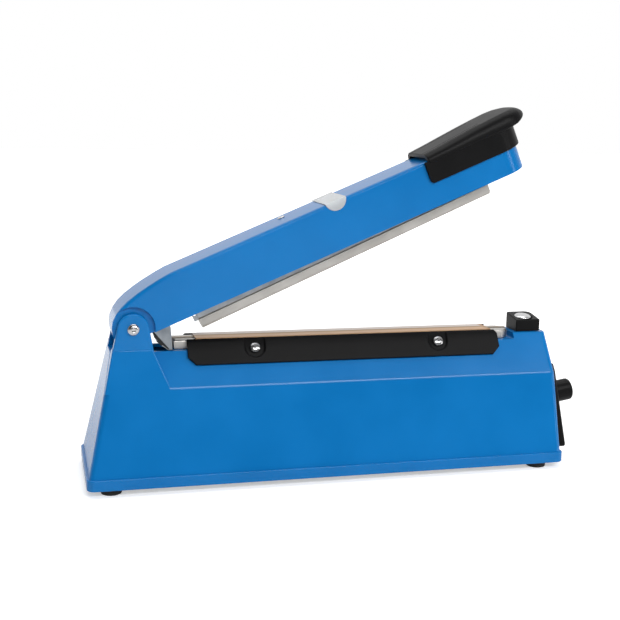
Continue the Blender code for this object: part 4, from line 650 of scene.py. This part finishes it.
class SEALER_OT_grip(bpy.types.Operator):
    """Grip: skirt around the arm's front end and a crowned thumb plate"""

    bl_idname = "sealer.grip"
    bl_label = "Build grip"

    def execute(self, context):
        grip = self.plate()
        skirt = slab(points((207.8, -19.5), (277.4, -19.5), (277.4, 19.5), (207.8, 19.5)), "xy", 7.8 * MM, 21.9 * MM)
        soften(skirt, 18.2 * MM, 14, 60, keep=lambda edge: lies_along(edge, "z") and edge.verts[0].co.x > 0.25)
        soften(skirt, 2.6 * MM, 5, 60, keep=lambda edge: lies_along(edge, "y") and edge.verts[0].co.x < 0.21
               and edge.verts[0].co.z < 0.01)
        soften(skirt, 0.6 * MM, 3, 50, keep=lambda edge: min(v.co.z for v in edge.verts) < 0.0215)
        combine(grip, skirt, "UNION")
        pocket = slab(points((200, -17.6), (275.4, -17.6), (275.4, 17.6), (200, 17.6)), "xy", -10 * MM, 22.6 * MM)
        soften(pocket, 16.3 * MM, 14, 60, keep=lambda edge: lies_along(edge, "z") and edge.verts[0].co.x > 0.25)
        combine(grip, pocket, "DIFFERENCE")
        arch = block(200 * MM, 214 * MM, -16.2 * MM, 16.2 * MM, 20 * MM, 24.2 * MM)
        soften(arch, 2.2 * MM, 4, 60, keep=lambda edge: lies_along(edge, "x") and edge.verts[0].co.z > 0.022)
        combine(grip, arch, "DIFFERENCE")
        for y in (-13.4, -9.8, 9.8, 13.4):
            groove = block(0, 42 * MM, -0.3 * MM, 0.3 * MM, -0.35 * MM, 3 * MM)
            lean = math.atan2(28.3 - 26.6, 235.0 - 211.0)
            place = Matrix.Translation((211 * MM, y * MM, 26.6 * MM)) @ Matrix.Rotation(-lean, 4, "Y")
            combine(grip, moved(groove, place), "DIFFERENCE")
        finish_piece(grip, "arm", "black_abs", ["handle"], ARM_PLACE, 40)
        return {"FINISHED"}

    def plate(self):
        """Blank with a round nose and full edges, bent to the side lines and cut off at the rear."""
        blank = slab(points((190, -20.1), (286.4, -20.1), (286.4, 20.1), (190, 20.1)), "xy", 0, GRIP_BLANK * MM)
        soften(blank, 18.9 * MM, 18, 60, keep=lambda edge: lies_along(edge, "z") and edge.verts[0].co.x > 0.25)
        soften(blank, 6.4 * MM, 9, 60, keep=lambda edge: edge.verts[0].co.z > 0.007 and edge.verts[1].co.z > 0.007)
        soften(blank, 0.9 * MM, 3, 60, keep=lambda edge: edge.verts[0].co.z < 0.001 and edge.verts[1].co.z < 0.001)
        cut = bmesh.ops.bisect_plane(
            blank, geom=blank.verts[:] + blank.edges[:] + blank.faces[:], plane_co=(210.5 * MM, 0, 0),
            plane_no=(1, 0, 0), dist=1e-7, clear_inner=True,
        )
        rim = [item for item in cut["geom_cut"] if isinstance(item, bmesh.types.BMEdge)]
        bmesh.ops.holes_fill(blank, edges=rim, sides=0)
        soften(blank, 1.1 * MM, 3, 60, keep=lambda edge: all(vert.co.x < 0.2106 for vert in edge.verts))
        for x, _ in GRIP_TOP[2:-1] + GRIP_UNDER[1:-1]:
            bmesh.ops.bisect_plane(
                blank, geom=blank.verts[:] + blank.edges[:] + blank.faces[:], plane_co=(x * MM, 0, 0),
                plane_no=(1, 0, 0), dist=1e-7,
            )
        for vert in blank.verts:
            x = vert.co.x / MM
            low, high = along(GRIP_UNDER, x), along(GRIP_TOP, x)
            vert.co.z = (low + vert.co.z / MM / GRIP_BLANK * (high - low)) * MM
        bmesh.ops.triangulate(blank, faces=blank.faces)
        bmesh.ops.recalc_face_normals(blank, faces=blank.faces)
        return raw_object(blank, "grip")


class SEALER_OT_strips(bpy.types.Operator):
    """Black clamp strips on both sides of the deck"""

    bl_idname = "sealer.strips"
    bl_label = "Build clamp strips"

    def execute(self, context):
        sizes = context.scene.sealer_sizes
        tilt = math.atan(UPPER_SLOPE)
        for side, word in ((-1, "near"), (1, "far")):
            section = points((0, 0), (-0.6, 0), (-2.0, -3.3), (-2.0, -17.5), (0, -17.5))
            strip = raw_object(slab(section, "yz", -103.5 * MM, 103.5 * MM), f"strip_{word}")
            outline = points((-103.5, 2), (-103.5, -12.5), (-98.5, -17.5), (98.5, -17.5), (103.5, -12.5),
                             (103.5, -3.3), (101.9, 0.5), (101.9, 2))
            combine(strip, slab(outline, "xz", -3.0 * MM, 1.0 * MM), "INTERSECT")
            for x in (-61.0, 61.0):
                arc = [(x + 6.0 * math.cos(math.radians(a)), -7.5 + 6.0 * math.sin(math.radians(a)))
                       for a in range(180, 361, 12)]
                notch = slab(points(*arc, (x + 6.6, 3), (x - 6.6, 3)), "xz", -4 * MM, -1.0 * MM)
                wide = [vert for vert in notch.verts if vert.co.y < -0.003]
                bmesh.ops.scale(notch, vec=(1.35, 1, 1.2), verts=wide,
                                space=Matrix.Translation((-x * MM, 0, 7.5 * MM)))
                combine(strip, notch, "DIFFERENCE")
                hole = turned([(1.9 * MM, -5 * MM), (1.9 * MM, 5 * MM)], 24)
                place = Matrix.Translation((x * MM, 0, -7.5 * MM)) @ Matrix.Rotation(math.pi / 2, 4, "X")
                combine(strip, moved(hole, place), "DIFFERENCE")
            bevel = strip.modifiers.new("soft_edges", "BEVEL")
            bevel.width = sizes.strip_round
            bevel.segments = 2
            bevel.limit_method = "ANGLE"
            bevel.angle_limit = math.radians(50)
            seat_y = wall_half(88.9) * MM
            out = Vector((0, side * math.cos(tilt), math.sin(tilt)))
            turn = Matrix.Rotation(math.pi if side > 0 else 0, 4, "Z")
            lean = Matrix.Rotation(-tilt, 4, "X")
            seat = Vector((167.3 * MM, side * seat_y, 88.9 * MM)) + out * 0.3 * MM
            place = BASE_PLACE @ Matrix.Translation(seat) @ turn @ lean
            finish_piece(strip, "base", "black_abs", [f"clamp_strip_{word}"], place)
        return {"FINISHED"}


def cross_screw_head(radius, height, recess=True):
    """Pan head on a short neck, with a cross recess, standing along +Z from its seat."""
    profile = [(radius * 0.97, 0), (radius, height * 0.14), (radius * 0.99, height * 0.4),
               (radius * 0.88, height * 0.72), (radius * 0.62, height * 0.93), (radius * 0.3, height), (0, height)]
    head = raw_object(turned([(0, 0), *profile], 40), "screw_head")
    if recess:
        for turn in (0, math.pi / 2):
            blade = block(-radius * 0.62, radius * 0.62, -radius * 0.13, radius * 0.13, height * 0.25, height * 1.3)
            low = [vert for vert in blade.verts if vert.co.z < height * 0.5]
            bmesh.ops.scale(blade, vec=(0.45, 0.6, 1), verts=low)
            combine(head, moved(blade, Matrix.Rotation(turn, 4, "Z")), "DIFFERENCE")
    mesh = head.data
    bpy.data.objects.remove(head, do_unlink=True)
    return mesh


def seat_screw(name, mesh, seat, direction, body, spin, shank=6.5):
    """Copies the screw head to a seat and adds its shank."""
    bm = bmesh.new()
    bm.from_mesh(mesh)
    stem = turned([(1.5 * MM, -shank * MM), (1.5 * MM, 0.05 * MM)], 20)
    stem_mesh = bpy.data.meshes.new("stem")
    stem.to_mesh(stem_mesh)
    stem.free()
    bm.from_mesh(stem_mesh)
    bpy.data.meshes.remove(stem_mesh)
    place = Vector(direction).to_track_quat("Z", "Y").to_matrix().to_4x4() @ Matrix.Rotation(spin, 4, "Z")
    place.translation = seat
    finish_piece(raw_object(bm, f"{name}_finished"), body, "chrome_plate", [name], place)


class SEALER_OT_screws(bpy.types.Operator):
    """Cross screws on the strips, the control panel and the arm"""

    bl_idname = "sealer.screws"
    bl_label = "Build screws"

    def execute(self, context):
        mesh = cross_screw_head(3.4 * MM, 1.9 * MM)
        tilt = math.atan(UPPER_SLOPE)
        for side, word in ((-1, "near"), (1, "far")):
            out = Vector((0, side * math.cos(tilt), math.sin(tilt)))
            up = Vector((0, -side * math.sin(tilt), math.cos(tilt)))
            seat = Vector((0, side * wall_half(88.9) * MM, 88.9 * MM)) + out * 1.9 * MM - up * 7.5 * MM
            for sign, end in ((-1, "rear"), (1, "front")):
                place = seat + Vector(((167.3 + sign * 61.0) * MM - HALF_LENGTH, 0, 0))
                seat_screw(f"strip_screw_{word}_{end}", mesh, place, out, "base", 0.4 + sign * 0.5)
        bpy.data.meshes.remove(mesh)
        axis = panel_axis(panel_skin)
        flat = cross_screw_head(2.9 * MM, 0.6 * MM)
        for name, y in (("panel_screw_near", -19.0), ("panel_screw_far", 19.0)):
            place = Vector((panel_skin(53.0) * MM - HALF_LENGTH, y * MM, 53.0 * MM)) - axis * 0.35 * MM
            seat_screw(name, flat, place, axis, "base", 0.7 * y)
        bpy.data.meshes.remove(flat)
        small = cross_screw_head(2.4 * MM, 0.8 * MM)
        seat = ARM_PLACE @ Vector((114.0 * MM, 6.0 * MM, 22.45 * MM))
        seat_screw("frame_screw", small, seat, ARM_PLACE.to_3x3() @ Vector((0, 0, 1)), "arm", 0.3, 4.0)
        bpy.data.meshes.remove(small)
        return {"FINISHED"}


def panel_axis(line=panel_face):
    """Outward direction of the control panel, or of its visible skin."""
    lean = math.atan((line(12.5) - line(66.5)) / 54.0)
    return Vector((math.cos(lean), 0, math.sin(lean)))


class SEALER_OT_controls(bpy.types.Operator):
    """Wedge shaped control panel with its dial marks, and the timer knob"""

    bl_idname = "sealer.controls"
    bl_label = "Build controls"

    def execute(self, context):
        outline = points((-33.7, 12.5), (33.7, 12.5), (21.1, 62), (18.3, 66.5), (-18.3, 66.5), (-21.1, 62))
        wedge = slab(outline, "yz", 300 * MM, 320 * MM)
        for vert in wedge.verts:
            z = vert.co.z / MM
            vert.co.x = (knob_end(z) + 0.3 if vert.co.x < 0.31 else panel_skin(z)) * MM
        soften(wedge, 2.0 * MM, 5, 20, keep=lambda edge: min(v.co.x for v in edge.verts) > 0.3095)
        panel = raw_object(wedge, "end_panel")
        axis = panel_axis()
        lean = axis.to_track_quat("Z", "Y").to_matrix().to_4x4()
        knob = Vector((panel_face(44.7) * MM, -12.0 * MM, 44.7 * MM))
        inlet = Vector((panel_face(25.0) * MM, 16.0 * MM, 25.0 * MM))
        for place, radius in ((knob, 7.8), (inlet, 7.9)):
            boss = turned([(0, -4 * MM), (radius * MM, -4 * MM), ((radius - 0.3) * MM, 0), (0, 0)], 64)
            combine(panel, moved(boss, Matrix.Translation(place) @ lean), "UNION")
        for place, radius in ((knob, 3.7), (inlet, 6.1)):
            hole = turned([(radius * MM, -16 * MM), (radius * MM, 3 * MM)], 40)
            combine(panel, moved(hole, Matrix.Translation(place) @ lean), "DIFFERENCE")
        finish_piece(panel, "base", "black_abs", ["control_panel"], BASE_PLACE)

        marks = bmesh.new()
        dial = Vector((panel_skin(44.7) * MM, -12.0 * MM, 44.7 * MM))
        flat = panel_axis(panel_skin).to_track_quat("Z", "Y").to_matrix().to_4x4()
        for number in range(9):
            angle = math.radians(-140 + 35 * number)
            bar = block(-0.25 * MM, 0.25 * MM, 9.0 * MM, 10.4 * MM, -0.1 * MM, 0.06 * MM)
            bar_mesh = bpy.data.meshes.new("mark")
            moved(bar, Matrix.Translation(dial) @ flat @ Matrix.Rotation(angle + math.pi / 2, 4, "Z"))
            bar.to_mesh(bar_mesh)
            bar.free()
            marks.from_mesh(bar_mesh)
            bpy.data.meshes.remove(bar_mesh)
        finish_piece(raw_object(marks, "dial_marks"), "base", "white_nylon", (), BASE_PLACE)

        profile = [(0, 0.3), (7.1, 0.3), (7.3, 0.6), (7.3, 11.2), (7.15, 12.1), (6.7, 12.7), (6.1, 13.0), (5.6, 12.95),
                   (5.3, 12.75), (0, 12.75)]
        body = turned([(r * MM, z * MM) for r, z in profile], 72)
        ribs = [vert for vert in body.verts if 0.001 < vert.co.z < 0.0115 and vert.co.xy.length > 0.007]
        for vert in ribs:
            if round(math.atan2(vert.co.y, vert.co.x) / (2 * math.pi / 72)) % 3 == 0:
                vert.co.xy *= 0.975
        turning = raw_object(body, "knob")
        pointer = block(1.4 * MM, 6.9 * MM, -0.45 * MM, 0.45 * MM, 12.3 * MM, 14 * MM)
        combine(turning, pointer, "DIFFERENCE")
        bore = turned([(2.9 * MM, -2 * MM), (2.9 * MM, 9.3 * MM)], 32)
        combine(turning, bore, "DIFFERENCE")
        finish_piece(turning, "knob", "black_abs", ["timer_knob"],
                     BASE_PLACE @ Matrix.Translation(knob) @ lean)
        grommet = [(5.8, -3), (5.8, 0.3), (7.0, 0.35), (7.1, 0.9), (6.6, 1.8), (5.2, 2.6), (4.2, 2.5), (3.5, 1.8),
                   (3.4, -3), (5.8, -3)]
        ring = turned([(r * MM, z * MM) for r, z in grommet], 56)
        finish_piece(raw_object(ring, "inlet_grommet"), "base", "black_rubber", ["cord_grommet"],
                     BASE_PLACE @ Matrix.Translation(inlet) @ lean)
        return {"FINISHED"}


SWITCH_LEAN = 0.152


class SEALER_OT_start_switch(bpy.types.Operator):
    """Switch block on the shoulder and its plated start button"""

    bl_idname = "sealer.start_switch"
    bl_label = "Build start switch"

    def execute(self, context):
        body = block(286.6 * MM, 303.8 * MM, -8.0 * MM, 9.6 * MM, 87.1 * MM, 96.2 * MM)
        for corner_x, corner_y, radius in ((1, 1, 4.5), (-1, 1, 1.6), (1, -1, 0.8), (-1, -1, 0.8)):
            soften(body, radius * MM, 5, 60, keep=lambda edge: lies_along(edge, "z")
                   and (edge.verts[0].co.x - 0.2946) * corner_x > 0.006 and edge.verts[0].co.y * corner_y > 0.006)
        soften(body, 0.7 * MM, 4, 60, keep=lambda edge: edge.verts[0].co.z > 0.09 and edge.verts[1].co.z > 0.09)
        for vert in body.verts:
            if vert.co.z > 0.09:
                vert.co.z += SWITCH_LEAN * (vert.co.y - 1.0 * MM)
        switch = raw_object(body, "switch_body")
        well = turned([(0, 1.6 * MM), (5.9 * MM, 1.6 * MM), (5.9 * MM, 8.3 * MM), (6.3 * MM, 8.5 * MM),
                       (6.7 * MM, 9.1 * MM), (6.8 * MM, 12 * MM), (0, 12 * MM)], 64)
        tilt = Matrix.Rotation(math.atan(SWITCH_LEAN), 4, "X")
        combine(switch, moved(well, Matrix.Translation((294.6 * MM, 0, 87.1 * MM)) @ tilt), "DIFFERENCE")
        stem = turned([(2.1 * MM, -3 * MM), (2.1 * MM, 5 * MM)], 32)
        combine(switch, moved(stem, Matrix.Translation((294.6 * MM, 0, 87.1 * MM))), "DIFFERENCE")
        finish_piece(switch, "base", "black_abs", ["switch_block"], BASE_PLACE)
        low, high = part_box("start_button")
        top = high.z / MM
        profile = [(0, low.z / MM), (1.8, low.z / MM), (1.8, top - 5.2), (5.6, top - 5.2), (5.6, top - 1.5),
                   (5.4, top - 1.15), (4.6, top - 0.6), (3.1, top - 0.18), (1.3, top - 0.02), (0, top)]
        cap = turned([(r * MM, z * MM) for r, z in profile], 56)
        for vert in cap.verts:
            if vert.co.z > (top - 5.3) * MM:
                vert.co.z += SWITCH_LEAN * vert.co.y - 0.25 * MM
        finish_piece(raw_object(cap, "button_cap"), "button", "chrome_plate", ["start_button"],
                     Matrix.Translation(((low.x + high.x) / 2, 0, 0)))
        return {"FINISHED"}


class SEALER_OT_bar(bpy.types.Operator):
    """Pressing bar with its grooved side, its steel channel and the folded tab at the rear"""

    bl_idname = "sealer.bar"
    bl_label = "Build pressing bar"

    def execute(self, context):
        place = bar_place()
        half = 104.3
        section = points((-4.6, -14.4), (4.6, -14.4), (4.6, -9.2), (3.4, -9.2), (3.4, -4.2), (-3.4, -4.2), (-3.4, -9.2),
                         (-4.6, -9.2))
        bar = slab(section, "yz", -half * MM, half * MM)
        soften(bar, 0.25 * MM, 2, 50)
        finish_piece(raw_object(bar, "bar_extrusion"), "bar", "aluminium", ["pressing_bar"], place)
        section = points((-5.0, -8.4), (-3.8, -8.4), (-3.8, 1.3), (3.8, 1.3), (3.8, -8.4), (5.0, -8.4), (5.0, 2.5),
                         (-5.0, 2.5))
        channel = slab(section, "yz", -half * MM, half * MM)
        soften(channel, 0.3 * MM, 2, 50)
        channel = raw_object(channel, "channel")
        hole = turned([(1.8 * MM, -10 * MM), (1.8 * MM, 10 * MM)], 24)
        combine(channel, moved(hole, Matrix.Rotation(math.pi / 2, 4, "X")), "DIFFERENCE")
        finish_piece(channel, "bar", "zinc_steel", ["bar_channel"], place)
        tab = slab(points((-107.2, -9.6), (-104.4, -9.6), (-104.4, -5.0), (-105.4, -6.6), (-107.2, -5.4)), "xz",
                   -4.6 * MM, -3.4 * MM)
        soften(tab, 0.2 * MM, 2, 50)
        finish_piece(raw_object(tab, "channel_tab"), "bar", "zinc_steel", (), place)
        web = slab(points((9.8, -7.0), (9.6, -11.0), (9.9, -14.5), (11.6, -18.3), (14.6, -22.2), (17.0, -23.5),
                          (17.0, -7.0)), "xz", -10.9 * MM, -10.3 * MM)
        finish_piece(raw_object(web, "tongue_guard"), "arm", "zinc_steel", (), ARM_PLACE)
        # Thin black strip on the tongue guard's curved edge: painted shade, a dark band standing for the shade along
        # the edge of the tongue
        outline = [(9.8, -7.0), (9.6, -11.0), (9.9, -14.5), (11.6, -18.3), (14.6, -22.2), (15.2, -21.8), (12.3, -18.0),
                   (10.7, -14.3), (10.2, -11.0), (10.4, -7.0)]
        shade_strip = slab(points(*outline), "xz", -11.1 * MM, -10.2 * MM)
        finish_piece(raw_object(shade_strip, "tongue_edge_painted_shade"), "arm", "black_rubber", (), ARM_PLACE)
        return {"FINISHED"}


class SEALER_OT_bed(bpy.types.Operator):
    """Sealing bed with its round front end, and the cloth folded over it"""

    bl_idname = "sealer.bed"
    bl_label = "Build bed and cloth"

    def execute(self, context):
        bed = block(56.2 * MM, 281.8 * MM, -8.5 * MM, 8.5 * MM, 83.1 * MM, 88.6 * MM)
        soften(bed, 7.0 * MM, 12, 60, keep=lambda edge: lies_along(edge, "z") and edge.verts[0].co.x > 0.2)
        soften(bed, 1.3 * MM, 4, 60, keep=lambda edge: min(v.co.z for v in edge.verts) > 0.088)
        finish_piece(raw_object(bed, "bed"), "base", "aluminium", ["sealing_bed"], BASE_PLACE)
        section = points((-9.05, 83.1), (-9.05, 89.65), (9.05, 89.65), (9.05, 83.1), (8.8, 83.1), (8.8, 89.4),
                         (-8.8, 89.4), (-8.8, 83.1))
        cloth = slab(section, "yz", 69.6 * MM, 267.6 * MM)
        soften(cloth, 0.5 * MM, 3, 60, keep=lambda edge: lies_along(edge, "x") and edge.verts[0].co.z > 0.0895)
        finish_piece(raw_object(cloth, "cloth"), "base", "ptfe_glass_cloth", ["ptfe_cloth"], BASE_PLACE)
        return {"FINISHED"}


def bar_place():
    """Where the bar's cross pin is at rest, with the bar's own tilt."""
    rock = next(joint for joint in frame["joints"] if joint["name"] == "bar_rock")
    tilt = REST_ANGLE + math.radians(1.04)
    return Matrix.Translation(Vector(rock["pos_m"])) @ Matrix.Rotation(-tilt, 4, "Y")


class SEALER_OT_feet(bpy.types.Operator):
    """Rubber feet and the riveted ends of the hinge pin"""

    bl_idname = "sealer.feet"
    bl_label = "Build feet and rivets"

    def execute(self, context):
        for number in range(1, 5):
            low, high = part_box(f"foot_{number}")
            profile = [(1.9, 2.4), (4.2, 2.4), (4.2, 0), (5.7, 0), (6.2, 0.25), (6.4, 0.8), (6.4, 3.7), (1.9, 3.7),
                       (1.9, 2.4)]
            foot = turned([(r * MM, z * MM) for r, z in profile], 48)
            centre = (low + high) / 2
            finish_piece(raw_object(foot, f"rubber_foot_{number}"), "base", "black_rubber", [f"foot_{number}"],
                         Matrix.Translation((centre.x, centre.y, 0)))
        head = [(0, -19.8), (0, -21.35), (0.8, -21.4), (1.3, -21.62), (2.2, -21.5), (3.1, -21.1), (3.55, -20.5),
                (3.6, -19.8), (2.4, -19.8), (2.4, 20.7), (0, 20.7)]
        pin = turned([(r * MM, z * MM) for r, z in head[1:]], 48)
        turn = Matrix.Rotation(-math.pi / 2, 4, "X")
        seat = Matrix.Translation(Vector(HINGE["pos_m"]))
        finish_piece(raw_object(pin, "rivet"), "base", "chrome_plate", ["hinge_pin"], seat @ turn)
        cap = [(2.7, 19.8), (3.6, 19.8), (3.55, 20.5), (3.1, 21.1), (2.2, 21.5), (0, 21.6), (0, 21.0), (2.7, 21.0),
               (2.7, 19.8)]
        made = turned([(r * MM, z * MM) for r, z in cap], 48)
        finish_piece(raw_object(made, "rivet_cap"), "base", "chrome_plate", ["pin_cap"], seat @ turn)
        return {"FINISHED"}


class SEALER_OT_finishes(bpy.types.Operator):
    """Gives every CAD node that still shows the finish of its slot"""

    bl_idname = "sealer.finishes"
    bl_label = "Finish remaining nodes"

    def execute(self, context):
        for entry in frame["record"]["subparts"]:
            node = frame["nodes"][entry["node"]]
            finish = finish_named(entry["material_slot"])
            node.data.materials.clear()
            node.data.materials.append(finish)
        return {"FINISHED"}


def seen_rays(tree, behind):
    """One for rays from the camera and through clear parts, and for gloss as far as it looks behind the object."""
    path = add(tree, "ShaderNodeLightPath")
    direct = add(tree, "ShaderNodeMath", {"operation": "MAXIMUM"}, i0=path.outputs["Is Camera Ray"],
                 i1=path.outputs["Is Transmission Ray"])
    gloss = add(tree, "ShaderNodeMath", {"operation": "MULTIPLY"}, i0=path.outputs["Is Glossy Ray"], i1=behind)
    seen = add(tree, "ShaderNodeMath", {"operation": "MAXIMUM"}, i0=direct.outputs["Value"], i1=gloss.outputs["Value"])
    return seen.outputs["Value"]


class SEALER_OT_stage(bpy.types.Operator):
    """Pale floor, soft lights and the camera"""

    bl_idname = "sealer.stage"
    bl_label = "Set the stage"

    def execute(self, context):
        scene = context.scene
        scene.view_settings.view_transform = "Standard"
        bm = bmesh.new()
        bmesh.ops.create_grid(bm, x_segments=1, y_segments=1, size=6.0)
        floor = raw_object(bm, "floor")
        floor.data.materials.append(self.paper())
        self.sky(scene)
        for name, place, wide, tall, power in (
            ("key", (0.35, -1.35, 1.05), 1.5, 0.28, 17.0),
            ("top", (0.0, 0.15, 1.9), 1.6, 1.2, 14.0),
            ("side", (1.5, -0.95, 0.35), 0.22, 0.9, 4.0),
        ):
            data = bpy.data.lights.new(name, "AREA")
            data.shape = "RECTANGLE"
            data.size = wide
            data.size_y = tall
            data.energy = power
            lamp = bpy.data.objects.new(name, data)
            scene.collection.objects.link(lamp)
            lamp.location = place
            lamp.rotation_euler = (Vector((0, 0, 0.08)) - Vector(place)).to_track_quat("-Z", "Y").to_euler()
        self.camera(scene)
        return {"FINISHED"}

    def paper(self):
        """White paper sweep that shows pure white to the camera and keeps the object's shadow."""
        made = bpy.data.materials.new("floor_paper")
        made.use_nodes = True
        tree = made.node_tree
        shader = tree.nodes["Principled BSDF"]
        shader.inputs["Base Color"].default_value = colour("#FAFAFA")
        shader.inputs["Roughness"].default_value = 0.9
        shader.inputs["Specular IOR Level"].default_value = 0.1
        shader.inputs["Emission Color"].default_value = (1, 1, 1, 1)
        place = add(tree, "ShaderNodeTexCoord").outputs["Object"]
        reach = add(tree, "ShaderNodeVectorMath", {"operation": "LENGTH"}, i0=place)
        white = add(tree, "ShaderNodeMapRange", None, Value=reach.outputs["Value"], From_Min=0.3, From_Max=1.1,
                    To_Min=0.45, To_Max=1.0)
        depth = add(tree, "ShaderNodeSeparateXYZ", None, Vector=place)
        behind = add(tree, "ShaderNodeMapRange", None, Value=depth.outputs["Y"], From_Min=-0.1, From_Max=0.3)
        lift = add(tree, "ShaderNodeMath", {"operation": "MULTIPLY"}, i0=white.outputs["Result"],
                   i1=seen_rays(tree, behind.outputs["Result"]))
        tree.links.new(lift.outputs["Value"], shader.inputs["Emission Strength"])
        return made

    def sky(self, scene):
        world = bpy.data.worlds.new("studio")
        scene.world = world
        world.use_nodes = True
        tree = world.node_tree
        back = tree.nodes["Background"]
        back.inputs["Color"].default_value = (1, 1, 1, 1)
        view = add(tree, "ShaderNodeTexCoord")
        ahead = add(tree, "ShaderNodeSeparateXYZ", None, Vector=view.outputs["Generated"])
        behind = add(tree, "ShaderNodeMapRange", None, Value=ahead.outputs["Y"], From_Min=-0.2, From_Max=0.6,
                     To_Min=0.16, To_Max=0.62)
        mirrored = add(tree, "ShaderNodeMapRange", None, Value=ahead.outputs["Y"], From_Min=-0.3, From_Max=0.4,
                       To_Min=0.05, To_Max=1.0)
        path = add(tree, "ShaderNodeLightPath")
        lit = add(tree, "ShaderNodeMix", {"data_type": "FLOAT"}, i0=path.outputs["Is Glossy Ray"],
                  i2=behind.outputs["Result"], i3=mirrored.outputs["Result"])
        direct = add(tree, "ShaderNodeMath", {"operation": "MAXIMUM"}, i0=path.outputs["Is Camera Ray"],
                     i1=path.outputs["Is Transmission Ray"])
        seen = add(tree, "ShaderNodeMath", {"operation": "MAXIMUM"}, i0=direct.outputs["Value"], i1=lit.outputs[0])
        tree.links.new(seen.outputs["Value"], back.inputs["Strength"])

    def camera(self, scene):
        azimuth = math.radians(14.34)
        elevation = math.radians(10.096)
        roll = math.radians(1.031)
        ahead = Vector((
            math.sin(azimuth) * math.cos(elevation), math.cos(azimuth) * math.cos(elevation), -math.sin(elevation)
        ))
        level = Vector((math.cos(azimuth), -math.sin(azimuth), 0))
        upright = level.cross(ahead)
        right = level * math.cos(roll) + upright * math.sin(roll)
        up = upright * math.cos(roll) - level * math.sin(roll)
        data = bpy.data.cameras.new("camera")
        data.sensor_width = 36.0
        data.lens = 63.54
        data.clip_start = 0.01
        camera = bpy.data.objects.new("camera", data)
        scene.collection.objects.link(camera)
        turn = Matrix((right, up, -ahead)).transposed().to_4x4()
        turn.translation = Vector((-0.191637, -0.674605, 0.227902))
        camera.matrix_world = turn
        scene.camera = camera


class SealerSizes(bpy.types.PropertyGroup):
    edge_round: bpy.props.FloatProperty(
        name="Edge rounding", description="Radius of the housing's moulded edges", default=0.9 * MM,
        unit="LENGTH",
    )
    arm_round: bpy.props.FloatProperty(
        name="Arm rounding", description="Radius of the arm's top edges", default=2.2 * MM, unit="LENGTH",
    )
    strip_round: bpy.props.FloatProperty(
        name="Strip rounding", description="Radius of the clamp strips' edges", default=0.35 * MM, unit="LENGTH",
    )


OPERATORS = (
    SEALER_OT_finishes, SEALER_OT_housing, SEALER_OT_arm_cover, SEALER_OT_lens, SEALER_OT_grip, SEALER_OT_strips,
    SEALER_OT_screws, SEALER_OT_controls, SEALER_OT_start_switch, SEALER_OT_bar, SEALER_OT_bed, SEALER_OT_feet, SEALER_OT_stage,
)


class SEALER_PT_panel(bpy.types.Panel):
    bl_idname = "SEALER_PT_panel"
    bl_label = "Impulse sealer"
    bl_space_type = "VIEW_3D"
    bl_region_type = "UI"
    bl_category = "Sealer"

    def draw(self, context):
        sizes = context.scene.sealer_sizes
        for name in ("edge_round", "arm_round", "strip_round"):
            self.layout.prop(sizes, name)
        for operator in OPERATORS:
            self.layout.operator(operator.bl_idname)


def register():
    for item in (SealerSizes, *OPERATORS, SEALER_PT_panel):
        bpy.utils.register_class(item)
    bpy.types.Scene.sealer_sizes = bpy.props.PointerProperty(type=SealerSizes)


def unregister():
    del bpy.types.Scene.sealer_sizes
    for item in reversed((SealerSizes, *OPERATORS, SEALER_PT_panel)):
        bpy.utils.unregister_class(item)


def main():
    register()
    for operator in OPERATORS:
        group, name = operator.bl_idname.split(".")
        getattr(getattr(bpy.ops, group), name)()


if __name__ == "__main__":
    main()
